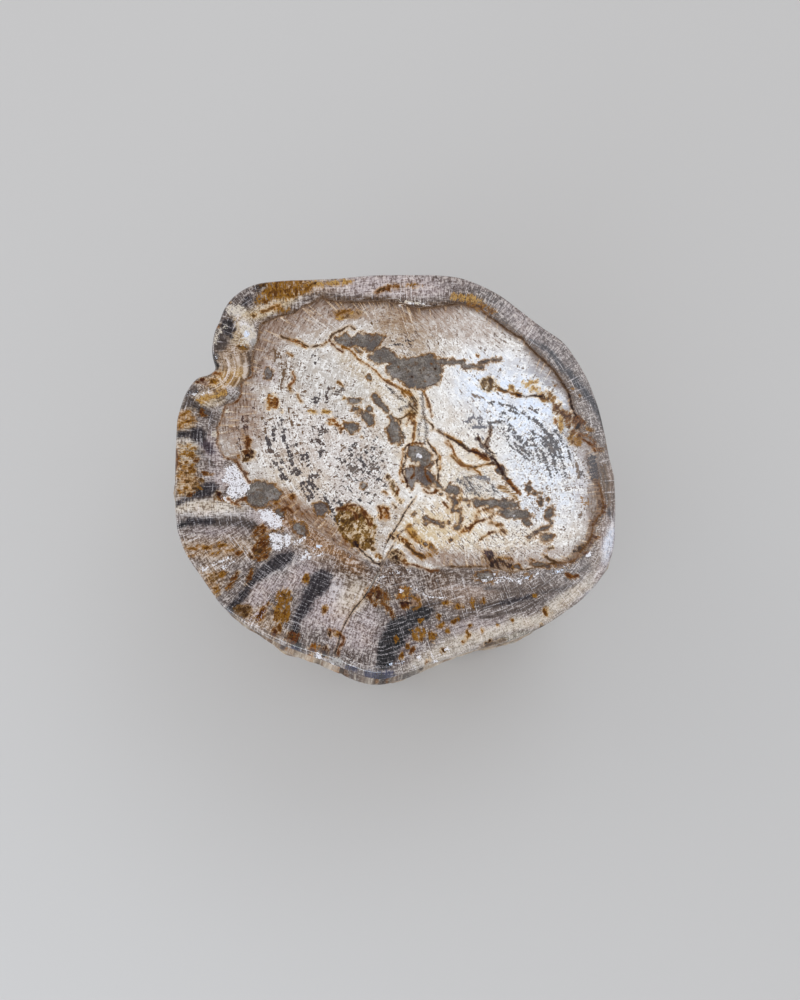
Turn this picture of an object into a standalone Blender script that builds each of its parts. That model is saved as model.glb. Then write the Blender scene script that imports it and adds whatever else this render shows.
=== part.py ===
"""Petrified wood stump, cut and polished on top, natural round the sides.

One grown and mineralised piece, so one closed solid: a trunk section standing
on a flat sawn base.  Metres, +Z up.  The origin is the centre of the box that
encloses the stump, on the plane it stands on.

The polished face's outline was read by eye at stations along its edge, as the
face appears to an observer who looks down on it at VIEW_ELEVATION from
VIEW_DISTANCE.  face_point() undoes that perspective, and every section below
the face is worked out from the outline by trunk_radius().
"""

import math

import bmesh
import bpy
import numpy as np

# ---------------------------------------------------------------- dimensions
HEIGHT = 0.405                       # stands this tall, base to polished face
EDGE_RADIUS = 0.0045                 # rounding round the polished face
BASE_CHAMFER = 0.0050                # broken edge round the sawn base
COLUMNS = 132                        # facets round the trunk
LEAN = 0.021                         # the trunk's heart drifts back this far
TWIST = math.radians(7.0)            # spiral grain, top to bottom
GROOVE_ANGLE = math.radians(148.6)   # the notch in the outline
FRONT = math.radians(-91.0)

# how the polished face was seen when its outline was read
VIEW_DISTANCE = 0.970
VIEW_ELEVATION = math.radians(77.0)
VIEW_FOCAL = 42.0 / 36.0 * 1000.0
VIEW_CENTRE = (400.0, 500.0)
HEART = (397.0, 476.0)               # the reading's middle of the face

# stations along the face's edge, clockwise from the upper left
FACE_EDGE = (
    (211.5, 350.0), (212.5, 339.0), (214.5, 330.0), (219.0, 320.0),
    (223.0, 309.5), (230.0, 299.0), (241.0, 290.0), (255.0, 283.5),
    (275.0, 280.5), (308.0, 279.0), (340.0, 277.5), (368.0, 274.8),
    (410.0, 274.0), (440.0, 274.5), (460.0, 277.0), (480.0, 284.0),
    (500.0, 294.5), (522.0, 311.0), (543.0, 327.0), (563.0, 341.0),
    (578.0, 361.0), (587.0, 377.0), (593.0, 391.0), (598.0, 405.0),
    (605.0, 433.0), (610.0, 458.0), (614.0, 474.0), (615.7, 494.0),
    (615.7, 521.0), (615.0, 543.0), (609.6, 562.6), (599.0, 581.0),
    (583.6, 598.0), (563.7, 613.0), (540.7, 627.6), (518.0, 637.6),
    (500.0, 643.5), (472.0, 650.5), (445.0, 659.0), (420.0, 667.0),
    (400.0, 673.0), (385.0, 676.0), (365.0, 674.0), (347.0, 667.5),
    (330.0, 660.5), (300.0, 651.0), (275.0, 641.0), (250.0, 627.5),
    (235.0, 617.0), (222.5, 607.0), (207.5, 587.0), (198.0, 573.0),
    (190.6, 562.6), (183.0, 549.0), (177.6, 533.5), (175.8, 521.0),
    (175.0, 503.0), (174.5, 470.0), (175.0, 451.0), (175.8, 433.0),
    (176.8, 419.0), (180.0, 407.0), (183.0, 398.0), (187.6, 388.6),
    (193.0, 381.0), (198.0, 377.0), (207.0, 374.5), (211.0, 372.3),
    (214.2, 369.5), (214.8, 366.0), (213.4, 362.0), (212.0, 356.0),
)

# depth below the polished face of each ring of the side, in metres
SIDE_DEPTHS = (0.012, 0.022, 0.034, 0.048, 0.066, 0.088, 0.112, 0.138, 0.164,
               0.190, 0.216, 0.242, 0.268, 0.294, 0.320, 0.344, 0.364, 0.382)
EDGE_STEPS = 3                       # facets across the rounded edge

# flat breaks: direction in degrees, reach from the heart at the level given,
# how far the plane leans out for each metre of height, and that level
BREAKS = ((-40.0, 0.1745, 0.150, 0.060),
          (214.0, 0.1760, 0.020, 0.150),
          (70.0, 0.1700, 0.140, 0.060))
BREAK_SOFTNESS = 0.0016


def face_point(u, v):
    """Place a reading of the polished face on it, from the observer's axis."""
    a = (u - VIEW_CENTRE[0]) / VIEW_FOCAL
    b = -(v - VIEW_CENTRE[1]) / VIEW_FOCAL
    se, ce = math.sin(VIEW_ELEVATION), math.cos(VIEW_ELEVATION)
    t = VIEW_DISTANCE * se / (se - b * ce)
    return t * a, t * (b * se + ce) - VIEW_DISTANCE * ce


def smooth(lo, hi, x):
    t = np.clip((x - lo) / (hi - lo), 0.0, 1.0)
    return t * t * (3.0 - 2.0 * t)


def wrap(angle):
    return (angle + math.pi) % (2.0 * math.pi) - math.pi


def bump(theta, z, at, height, across, tall):
    """A soft swelling, 1 at its middle, by angle and height."""
    return np.exp(-(wrap(theta - at) / across) ** 2
                  - ((z - height) / tall) ** 2)


class Outline:
    """The face's edge as a smooth radius round its heart, by angle."""

    def __init__(self):
        hx, hy = face_point(*HEART)
        pts = np.array([face_point(u, v) for u, v in FACE_EDGE])
        pts -= (hx, hy)
        ang = np.arctan2(pts[:, 1], pts[:, 0]) % (2.0 * math.pi)
        order = np.argsort(ang)
        ang = ang[order]
        rad = np.hypot(pts[:, 0], pts[:, 1])[order]
        n = len(ang)
        self.ang = np.concatenate((ang[-2:] - 2 * math.pi, ang,
                                   ang[:2] + 2 * math.pi))
        self.rad = np.concatenate((rad[-2:], rad, rad[:2]))
        h = np.diff(self.ang)
        slope = np.diff(self.rad) / h
        self.tan = np.zeros(n + 4)
        self.tan[1:-1] = ((slope[:-1] * h[1:] + slope[1:] * h[:-1])
                          / (h[:-1] + h[1:]))

    def __call__(self, theta):
        t = np.asarray(theta) % (2.0 * math.pi)
        i = np.clip(np.searchsorted(self.ang, t, side="right") - 1,
                    1, len(self.ang) - 3)
        h = self.ang[i + 1] - self.ang[i]
        s = (t - self.ang[i]) / h
        return ((2 * s ** 3 - 3 * s ** 2 + 1) * self.rad[i]
                + (s ** 3 - 2 * s ** 2 + s) * h * self.tan[i]
                + (3 * s ** 2 - 2 * s ** 3) * self.rad[i + 1]
                + (s ** 3 - s ** 2) * h * self.tan[i + 1])


OUTLINE = Outline()


def heart_line(z):
    """Where the trunk's heart is at height z, from the face's middle."""
    d = 1.0 - z / HEIGHT
    return (0.004 * math.sin(2.4 * d), LEAN * (0.55 * d + 0.45 * d * d))


def broken_flat(theta, z, r, at, reach, slope, level):
    """Cut the trunk back to a leaning plane, as a flat break leaves it."""
    turn = np.maximum(np.cos(wrap(theta - at)), 0.25)
    over = r - (reach + slope * (z - level)) / turn
    return r - BREAK_SOFTNESS * np.logaddexp(0.0, over / BREAK_SOFTNESS)


def trunk_radius(theta, z):
    """Radius of the trunk round its heart, by angle and height."""
    theta = np.asarray(theta, dtype=float)
    depth = HEIGHT - z
    d = depth / HEIGHT
    grain = theta + TWIST * d
    away = 0.5 - 0.5 * np.cos(theta - FRONT)         # 0 at the front, 1 behind

    # the cut outline, drawn in a little at the waist and towards the base
    r = OUTLINE(grain) * (1.0 - 0.030 * d - 0.022 * np.sin(math.pi * d) * away)

    # the lip swells just under the face, most along the front
    lip = smooth(0.002, 0.016, depth) * (1.0 - smooth(0.030, 0.085, depth))
    front = np.exp(-(wrap(theta - math.radians(-103.0)) / 0.40) ** 2)
    beside = np.exp(-(wrap(theta - math.radians(-52.0)) / 0.50) ** 2)
    r = r + lip * (0.0012 + 0.0060 * front - 0.0032 * beside)
    r = r - 0.0100 * smooth(0.010, 0.160, depth) * beside

    # flutes of the old trunk, fading in below the face
    g = smooth(0.006, 0.110, depth) * (0.45 + 0.55 * away)
    flutes = (0.0056 * np.cos(5.0 * grain + 0.9 + 0.9 * np.sin(2.2 * d))
              + 0.0044 * np.cos(8.0 * grain - 1.1 + 1.4 * d
                                + 0.7 * np.sin(2.0 * grain))
              + 0.0030 * np.cos(13.0 * grain + 2.3 - 1.2 * d
                                + 1.1 * np.sin(3.0 * grain + 4.0 * d))
              + 0.0018 * np.cos(21.0 * grain + 0.4 + 2.0 * d))
    r = r + g * flutes

    # the notch runs down the trunk as a widening groove
    gr = wrap(grain - GROOVE_ANGLE)
    r = r - (0.0110 * smooth(0.010, 0.090, depth)
             * (1.0 - 0.55 * smooth(0.250, 0.390, depth))
             * np.exp(-(gr / (0.060 + 0.060 * d)) ** 2))

    # two more seams down the trunk
    r = r - (0.0085 * smooth(0.050, 0.150, depth)
             * np.exp(-(wrap(grain - math.radians(22.0)) / 0.085) ** 2))
    r = r - (0.0070 * smooth(0.070, 0.200, depth)
             * np.exp(-(wrap(grain - math.radians(263.0)) / 0.075) ** 2))

    # a branch swelling with its hollow scar, and softer swellings and hollows
    r = r + 0.0185 * bump(theta, z, math.radians(50.0), 0.235, 0.27, 0.062)
    r = r - 0.0130 * bump(theta, z, math.radians(50.0), 0.238, 0.10, 0.024)
    r = r - 0.0090 * bump(theta, z, math.radians(-28.0), 0.300, 0.20, 0.034)
    r = r - 0.0085 * bump(theta, z, math.radians(-136.0), 0.105, 0.24, 0.042)
    r = r - 0.0080 * bump(theta, z, math.radians(196.0), 0.200, 0.17, 0.060)
    r = r + 0.0090 * bump(theta, z, math.radians(232.0), 0.270, 0.20, 0.055)
    r = r - 0.0070 * bump(theta, z, math.radians(104.0), 0.120, 0.20, 0.050)

    # root swellings towards the base, behind and at both sides
    low = smooth(0.150, 0.400, depth)
    roots = (0.0110 * np.exp(-(wrap(theta - math.radians(5.0)) / 0.36) ** 2)
             + 0.0130 * np.exp(-(wrap(theta - math.radians(172.0)) / 0.33) ** 2)
             + 0.0080 * np.exp(-(wrap(theta - math.radians(88.0)) / 0.30) ** 2)
             - 0.0050 * np.exp(-(wrap(theta - math.radians(130.0)) / 0.22) ** 2)
             - 0.0050 * np.exp(-(wrap(theta - math.radians(40.0)) / 0.20) ** 2))
    r = r + low * roots

    # flat breaks where pieces came away
    for at, reach, slope, level in BREAKS:
        r = broken_flat(theta, z, r, math.radians(at), reach, slope, level)

    # the face itself keeps exactly the outline that was read
    keep = smooth(0.0, 0.012, depth)
    return OUTLINE(theta) * (1.0 - keep) + r * keep


def ring_stations():
    """Height and inset of every ring, from the base's edge up to the face."""
    rings = [(0.0, BASE_CHAMFER), (BASE_CHAMFER, 0.0)]
    rings += [(HEIGHT - depth, 0.0) for depth in reversed(SIDE_DEPTHS)]
    for k in range(EDGE_STEPS + 1):
        a = 0.5 * math.pi * k / EDGE_STEPS
        rings.append((HEIGHT - EDGE_RADIUS * (1.0 - math.sin(a)),
                      EDGE_RADIUS * (1.0 - math.cos(a))))
    return rings


def clear_scene():
    for obj in list(bpy.data.objects):
        bpy.data.objects.remove(obj, do_unlink=True)
    for coll in list(bpy.data.collections):
        bpy.data.collections.remove(coll)


def stone_material():
    mat = bpy.data.materials.new("petrified_wood")
    mat.use_nodes = True
    bsdf = mat.node_tree.nodes["Principled BSDF"]
    bsdf.inputs["Base Color"].default_value = (0.47, 0.42, 0.37, 1.0)
    bsdf.inputs["Roughness"].default_value = 0.45
    bsdf.inputs["Metallic"].default_value = 0.0
    return mat


def build_stump(collection):
    """A cylinder with loop cuts, each ring shaped to the trunk's section."""
    rings = ring_stations()
    bm = bmesh.new()
    bmesh.ops.create_cone(bm, cap_ends=True, cap_tris=False, segments=COLUMNS,
                          radius1=1.0, radius2=1.0, depth=1.0)
    upright = [e for e in bm.edges
               if abs(e.verts[0].co.z - e.verts[1].co.z) > 0.5]
    bmesh.ops.subdivide_edges(bm, edges=upright, cuts=len(rings) - 2,
                              use_grid_fill=True)
    last = len(rings) - 1
    hx, hy = face_point(*HEART)
    for vert in bm.verts:
        ring = int(round((vert.co.z + 0.5) * last))
        theta = math.atan2(vert.co.y, vert.co.x)
        z, inset = rings[ring]
        ax, ay = heart_line(z)
        radius = float(trunk_radius(theta, z)) - inset
        vert.co = (hx + ax + radius * math.cos(theta),
                   hy + ay + radius * math.sin(theta), z)

    # stand the enclosing box's bottom centre on the origin
    xs = [v.co.x for v in bm.verts]
    ys = [v.co.y for v in bm.verts]
    off_x = 0.5 * (min(xs) + max(xs))
    off_y = 0.5 * (min(ys) + max(ys))
    for vert in bm.verts:
        vert.co.x -= off_x
        vert.co.y -= off_y
    bmesh.ops.recalc_face_normals(bm, faces=bm.faces)

    mesh = bpy.data.meshes.new("stump")
    bm.to_mesh(mesh)
    bm.free()
    mesh.shade_smooth()
    mesh.set_sharp_from_angle(angle=math.radians(50.0))
    obj = bpy.data.objects.new("stump", mesh)
    obj.data.materials.append(stone_material())
    collection.objects.link(obj)
    return obj


def main():
    clear_scene()
    collection = bpy.data.collections.new("petrified_wood_stump")
    bpy.context.scene.collection.children.link(collection)
    build_stump(collection)


main()
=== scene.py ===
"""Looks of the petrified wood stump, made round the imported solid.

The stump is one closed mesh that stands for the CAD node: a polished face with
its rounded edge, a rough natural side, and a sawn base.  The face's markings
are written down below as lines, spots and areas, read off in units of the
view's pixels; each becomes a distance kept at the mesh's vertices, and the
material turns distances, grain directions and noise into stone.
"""

import math

import bpy
import numpy as np
from mathutils import Matrix, Vector
from mathutils.geometry import delaunay_2d_cdt


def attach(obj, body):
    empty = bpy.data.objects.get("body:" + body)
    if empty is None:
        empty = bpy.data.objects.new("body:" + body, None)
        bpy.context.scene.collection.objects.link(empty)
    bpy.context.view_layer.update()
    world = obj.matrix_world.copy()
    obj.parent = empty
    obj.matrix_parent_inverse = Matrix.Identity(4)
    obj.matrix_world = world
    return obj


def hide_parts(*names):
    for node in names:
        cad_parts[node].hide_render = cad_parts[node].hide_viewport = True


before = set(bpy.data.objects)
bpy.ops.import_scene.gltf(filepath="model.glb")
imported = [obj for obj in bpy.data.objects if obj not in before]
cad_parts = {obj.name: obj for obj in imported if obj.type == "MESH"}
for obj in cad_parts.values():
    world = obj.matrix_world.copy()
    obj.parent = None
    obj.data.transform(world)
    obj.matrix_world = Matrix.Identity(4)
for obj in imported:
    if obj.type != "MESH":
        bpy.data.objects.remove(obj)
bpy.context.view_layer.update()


# ------------------------------------------------------------ the trunk's form
HEIGHT = 0.405
LEAN = 0.021
TWIST = math.radians(7.0)
GROOVE_ANGLE = math.radians(148.6)
FRONT = math.radians(-91.0)
VIEW_DISTANCE = 0.970
VIEW_ELEVATION = math.radians(77.0)
VIEW_FOCAL = 42.0 / 36.0 * 1000.0
VIEW_CENTRE = (400.0, 500.0)
HEART = (397.0, 476.0)
ROW_OFFSET = (-0.005905, 0.036620)   # middle of the enclosing box

FACE_EDGE = (
    (211.5, 350.0), (212.5, 339.0), (214.5, 330.0), (219.0, 320.0),
    (223.0, 309.5), (230.0, 299.0), (241.0, 290.0), (255.0, 283.5),
    (275.0, 280.5), (308.0, 279.0), (340.0, 277.5), (368.0, 274.8),
    (410.0, 274.0), (440.0, 274.5), (460.0, 277.0), (480.0, 284.0),
    (500.0, 294.5), (522.0, 311.0), (543.0, 327.0), (563.0, 341.0),
    (578.0, 361.0), (587.0, 377.0), (593.0, 391.0), (598.0, 405.0),
    (605.0, 433.0), (610.0, 458.0), (614.0, 474.0), (615.7, 494.0),
    (615.7, 521.0), (615.0, 543.0), (609.6, 562.6), (599.0, 581.0),
    (583.6, 598.0), (563.7, 613.0), (540.7, 627.6), (518.0, 637.6),
    (500.0, 643.5), (472.0, 650.5), (445.0, 659.0), (420.0, 667.0),
    (400.0, 673.0), (385.0, 676.0), (365.0, 674.0), (347.0, 667.5),
    (330.0, 660.5), (300.0, 651.0), (275.0, 641.0), (250.0, 627.5),
    (235.0, 617.0), (222.5, 607.0), (207.5, 587.0), (198.0, 573.0),
    (190.6, 562.6), (183.0, 549.0), (177.6, 533.5), (175.8, 521.0),
    (175.0, 503.0), (174.5, 470.0), (175.0, 451.0), (175.8, 433.0),
    (176.8, 419.0), (180.0, 407.0), (183.0, 398.0), (187.6, 388.6),
    (193.0, 381.0), (198.0, 377.0), (207.0, 374.5), (211.0, 372.3),
    (214.2, 369.5), (214.8, 366.0), (213.4, 362.0), (212.0, 356.0),
)

BREAKS = ((-40.0, 0.1745, 0.150, 0.060),
          (214.0, 0.1760, 0.020, 0.150),
          (70.0, 0.1700, 0.140, 0.060))
BREAK_SOFTNESS = 0.0016

COLUMNS = 408                        # round the side
SIDE_ROWS = 116                      # down the side
BEVEL_ROWS = 7
GRID = 1.55                          # finest spacing on the face, in pixels


def face_point(u, v):
    """A reading of the face, as a point of its plane (arrays welcome)."""
    a = (u - VIEW_CENTRE[0]) / VIEW_FOCAL
    b = -(v - VIEW_CENTRE[1]) / VIEW_FOCAL
    se, ce = math.sin(VIEW_ELEVATION), math.cos(VIEW_ELEVATION)
    t = VIEW_DISTANCE * se / (se - b * ce)
    return t * a, t * (b * se + ce) - VIEW_DISTANCE * ce


def face_pixel(x, y):
    """The reverse of face_point."""
    se, ce = math.sin(VIEW_ELEVATION), math.cos(VIEW_ELEVATION)
    ahead = VIEW_DISTANCE + y * ce
    return (VIEW_CENTRE[0] + VIEW_FOCAL * x / ahead,
            VIEW_CENTRE[1] - VIEW_FOCAL * y * se / ahead)


def smooth(lo, hi, x):
    t = np.clip((x - lo) / (hi - lo), 0.0, 1.0)
    return t * t * (3.0 - 2.0 * t)


def wrap(angle):
    return (angle + math.pi) % (2.0 * math.pi) - math.pi


def bump(theta, z, at, height, across, tall):
    return np.exp(-(wrap(theta - at) / across) ** 2
                  - ((z - height) / tall) ** 2)


class Outline:
    """The face's edge as a smooth radius round its heart, by angle."""

    def __init__(self):
        hx, hy = face_point(*HEART)
        pts = np.array([face_point(u, v) for u, v in FACE_EDGE])
        pts -= (hx, hy)
        ang = np.arctan2(pts[:, 1], pts[:, 0]) % (2.0 * math.pi)
        order = np.argsort(ang)
        ang = ang[order]
        rad = np.hypot(pts[:, 0], pts[:, 1])[order]
        n = len(ang)
        self.ang = np.concatenate((ang[-2:] - 2 * math.pi, ang,
                                   ang[:2] + 2 * math.pi))
        self.rad = np.concatenate((rad[-2:], rad, rad[:2]))
        h = np.diff(self.ang)
        slope = np.diff(self.rad) / h
        self.tan = np.zeros(n + 4)
        self.tan[1:-1] = ((slope[:-1] * h[1:] + slope[1:] * h[:-1])
                          / (h[:-1] + h[1:]))

    def __call__(self, theta):
        t = np.asarray(theta) % (2.0 * math.pi)
        i = np.clip(np.searchsorted(self.ang, t, side="right") - 1,
                    1, len(self.ang) - 3)
        h = self.ang[i + 1] - self.ang[i]
        s = (t - self.ang[i]) / h
        return ((2 * s ** 3 - 3 * s ** 2 + 1) * self.rad[i]
                + (s ** 3 - 2 * s ** 2 + s) * h * self.tan[i]
                + (3 * s ** 2 - 2 * s ** 3) * self.rad[i + 1]
                + (s ** 3 - s ** 2) * h * self.tan[i + 1])


OUTLINE = Outline()


def heart_line(z):
    d = 1.0 - z / HEIGHT
    return 0.004 * np.sin(2.4 * d), LEAN * (0.55 * d + 0.45 * d * d)


def broken_flat(theta, z, r, at, reach, slope, level):
    turn = np.maximum(np.cos(wrap(theta - at)), 0.25)
    over = r - (reach + slope * (z - level)) / turn
    return r - BREAK_SOFTNESS * np.logaddexp(0.0, over / BREAK_SOFTNESS)


def trunk_radius(theta, z):
    """Radius of the trunk round its heart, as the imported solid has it."""
    theta = np.asarray(theta, dtype=float)
    depth = HEIGHT - z
    d = depth / HEIGHT
    grain = theta + TWIST * d
    away = 0.5 - 0.5 * np.cos(theta - FRONT)
    r = OUTLINE(grain) * (1.0 - 0.030 * d - 0.022 * np.sin(math.pi * d) * away)
    lip = smooth(0.002, 0.016, depth) * (1.0 - smooth(0.030, 0.085, depth))
    front = np.exp(-(wrap(theta - math.radians(-103.0)) / 0.40) ** 2)
    beside = np.exp(-(wrap(theta - math.radians(-52.0)) / 0.50) ** 2)
    r = r + lip * (0.0012 + 0.0060 * front - 0.0032 * beside)
    r = r - 0.0100 * smooth(0.010, 0.160, depth) * beside
    g = smooth(0.006, 0.110, depth) * (0.45 + 0.55 * away)
    flutes = (0.0056 * np.cos(5.0 * grain + 0.9 + 0.9 * np.sin(2.2 * d))
              + 0.0044 * np.cos(8.0 * grain - 1.1 + 1.4 * d
                                + 0.7 * np.sin(2.0 * grain))
              + 0.0030 * np.cos(13.0 * grain + 2.3 - 1.2 * d
                                + 1.1 * np.sin(3.0 * grain + 4.0 * d))
              + 0.0018 * np.cos(21.0 * grain + 0.4 + 2.0 * d))
    r = r + g * flutes
    gr = wrap(grain - GROOVE_ANGLE)
    r = r - (0.0110 * smooth(0.010, 0.090, depth)
             * (1.0 - 0.55 * smooth(0.250, 0.390, depth))
             * np.exp(-(gr / (0.060 + 0.060 * d)) ** 2))
    r = r - (0.0085 * smooth(0.050, 0.150, depth)
             * np.exp(-(wrap(grain - math.radians(22.0)) / 0.085) ** 2))
    r = r - (0.0070 * smooth(0.070, 0.200, depth)
             * np.exp(-(wrap(grain - math.radians(263.0)) / 0.075) ** 2))
    r = r + 0.0185 * bump(theta, z, math.radians(50.0), 0.235, 0.27, 0.062)
    r = r - 0.0130 * bump(theta, z, math.radians(50.0), 0.238, 0.10, 0.024)
    r = r - 0.0090 * bump(theta, z, math.radians(-28.0), 0.300, 0.20, 0.034)
    r = r - 0.0085 * bump(theta, z, math.radians(-136.0), 0.105, 0.24, 0.042)
    r = r - 0.0080 * bump(theta, z, math.radians(196.0), 0.200, 0.17, 0.060)
    r = r + 0.0090 * bump(theta, z, math.radians(232.0), 0.270, 0.20, 0.055)
    r = r - 0.0070 * bump(theta, z, math.radians(104.0), 0.120, 0.20, 0.050)
    low = smooth(0.150, 0.400, depth)
    roots = (0.0110 * np.exp(-(wrap(theta - math.radians(5.0)) / 0.36) ** 2)
             + 0.0130 * np.exp(-(wrap(theta - math.radians(172.0)) / 0.33) ** 2)
             + 0.0080 * np.exp(-(wrap(theta - math.radians(88.0)) / 0.30) ** 2)
             - 0.0050 * np.exp(-(wrap(theta - math.radians(130.0)) / 0.22) ** 2)
             - 0.0050 * np.exp(-(wrap(theta - math.radians(40.0)) / 0.20) ** 2))
    r = r + low * roots
    for at, reach, slope, level in BREAKS:
        r = broken_flat(theta, z, r, math.radians(at), reach, slope, level)
    keep = smooth(0.0, 0.012, depth)
    return OUTLINE(theta) * (1.0 - keep) + r * keep


# ------------------------------------------------------------------- noise
def lattice(ix, iy, iz, seed):
    h = (ix * 374761393 + iy * 668265263 + iz * 1442695041 + seed * 974634777)
    h &= 0xFFFFFFFF
    h = ((h ^ (h >> 13)) * 1274126177) & 0xFFFFFFFF
    h = ((h ^ (h >> 15)) * 2246822519) & 0xFFFFFFFF
    return h ^ (h >> 16)


def noise(x, y, z, seed=0):
    """Gradient noise, about -1 to 1."""
    x, y, z = np.broadcast_arrays(np.asarray(x, float), np.asarray(y, float),
                                  np.asarray(z, float))
    fx, fy, fz = np.floor(x), np.floor(y), np.floor(z)
    ix, iy, iz = fx.astype(np.int64), fy.astype(np.int64), fz.astype(np.int64)
    x, y, z = x - fx, y - fy, z - fz
    sx = x * x * x * (x * (x * 6 - 15) + 10)
    sy = y * y * y * (y * (y * 6 - 15) + 10)
    sz = z * z * z * (z * (z * 6 - 15) + 10)
    total = np.zeros(x.shape)
    for dx in (0, 1):
        wx = sx if dx else 1 - sx
        for dy in (0, 1):
            wy = sy if dy else 1 - sy
            for dz in (0, 1):
                wz = sz if dz else 1 - sz
                h = lattice(ix + dx, iy + dy, iz + dz, seed)
                gx = ((h & 1023) / 511.5) - 1.0
                gy = (((h >> 10) & 1023) / 511.5) - 1.0
                gz = (((h >> 20) & 1023) / 511.5) - 1.0
                total += wx * wy * wz * (gx * (x - dx) + gy * (y - dy)
                                         + gz * (z - dz))
    return total * 1.45


def fractal(x, y, z, seed=0, octaves=3, rough=0.5):
    total, amp, norm, f = 0.0, 1.0, 0.0, 1.0
    for k in range(octaves):
        total = total + amp * noise(x * f, y * f, z * f, seed + 17 * k)
        norm += amp
        amp *= rough
        f *= 2.03
    return total / norm


# ----------------------------------------------------------------- colours
COLOURS = {
    "rust": (112, 70, 16), "drust": (62, 36, 12), "orust": (142, 90, 22),
    "ochre": (138, 96, 30), "lochre": (188, 150, 88), "olive": (108, 78, 20),
    "dolive": (40, 30, 16), "brown": (96, 70, 42), "dbrown": (54, 39, 30),
    "redbr": (100, 58, 30), "grey": (114, 107, 101), "dgrey": (86, 75, 69),
    "lgrey": (160, 155, 151), "char": (44, 39, 44), "black": (36, 33, 36),
    "blue": (26, 27, 38), "slate": (80, 80, 90), "purple": (72, 58, 66),
    "white": (230, 229, 234), "cream": (206, 196, 182), "tan": (158, 132, 104),
    # the bluish white is partly white mineral, and partly painted sheen and painted highlights where the polish
    # would reflect the pale room
    "pink": (160, 138, 124), "bluewhite": (216, 227, 246),
    "edge": (112, 92, 78), "edgeb": (104, 74, 44), "sand": (206, 184, 148),
    "taupe": (100, 89, 86), "agate": (98, 76, 60), "dagate": (104, 80, 66),
    "lilac": (188, 174, 176), "green": (160, 156, 138),
    "wood": (150, 110, 68), "umber": (92, 70, 50), "plum": (112, 100, 104),
    # the dark blue of the rounded front lip is painted reflection, laid over the rim's dark streaks where they reach
    # the lip
    "lipblue": (20, 38, 76), "gold": (158, 108, 26), "bark": (126, 102, 86),
}


def linear(rgb):
    c = np.asarray(rgb, float) / 255.0
    return np.where(c <= 0.04045, c / 12.92, ((c + 0.055) / 1.055) ** 2.4)


def stone_tone(rgb):
    """The stone's own colour where it is seen as rgb through the polish's
    faint reflection of the pale room."""
    c = linear(rgb)
    return np.maximum(c - 0.014, 0.30 * c)


# -------------------------------------------------- markings on the face
# One marking a line: colour, kind, sizes, then places.
#   o  spots:  half length, half width, tilt (degrees, clockwise); places
#   l  line:   half width (or start:end); points
#   a  area:   grown by; corners
HEARTWOOD = """
265,322 275,318 283,315 292,314 298,311 303,307 310,304 318,299 322,297.5
328,299 333,301 350,302 366,302 385,301 395,303 405,304 410,307 424,308.5
436,307 452,304.5 463,304.5 472,307 478,306.5 484,313 494,320 500,324 511,332
521,338 525,341 528,348 538,357 548,365 556,373 561,380 565,386 569,392
571,400 573,409 578,416 581,421 582,426 583,436 592,440 596,447 599,452
599,470 600,485 603,497 603,505 602,512 597,519 593,525 592,535 588,543
580,552 575,560 565,563 556,562.6 535,568 511.6,572 487,567 465.7,567
447,565.6 430.5,570 410.6,567 400,562 388,558 378,563 366,560 350,552
335,543 320,532 305,520 292,513 280,507 262,500 250,492 243,478 237,463
236,460 226,458 221,452 219,447 217,443 218,435 217,428 219,425 222,417
224,412 226,405 232,404 238,400 241,395 241,385 245,380 252,376 252,367
253,352 258,340 259.5,326
"""

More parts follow.
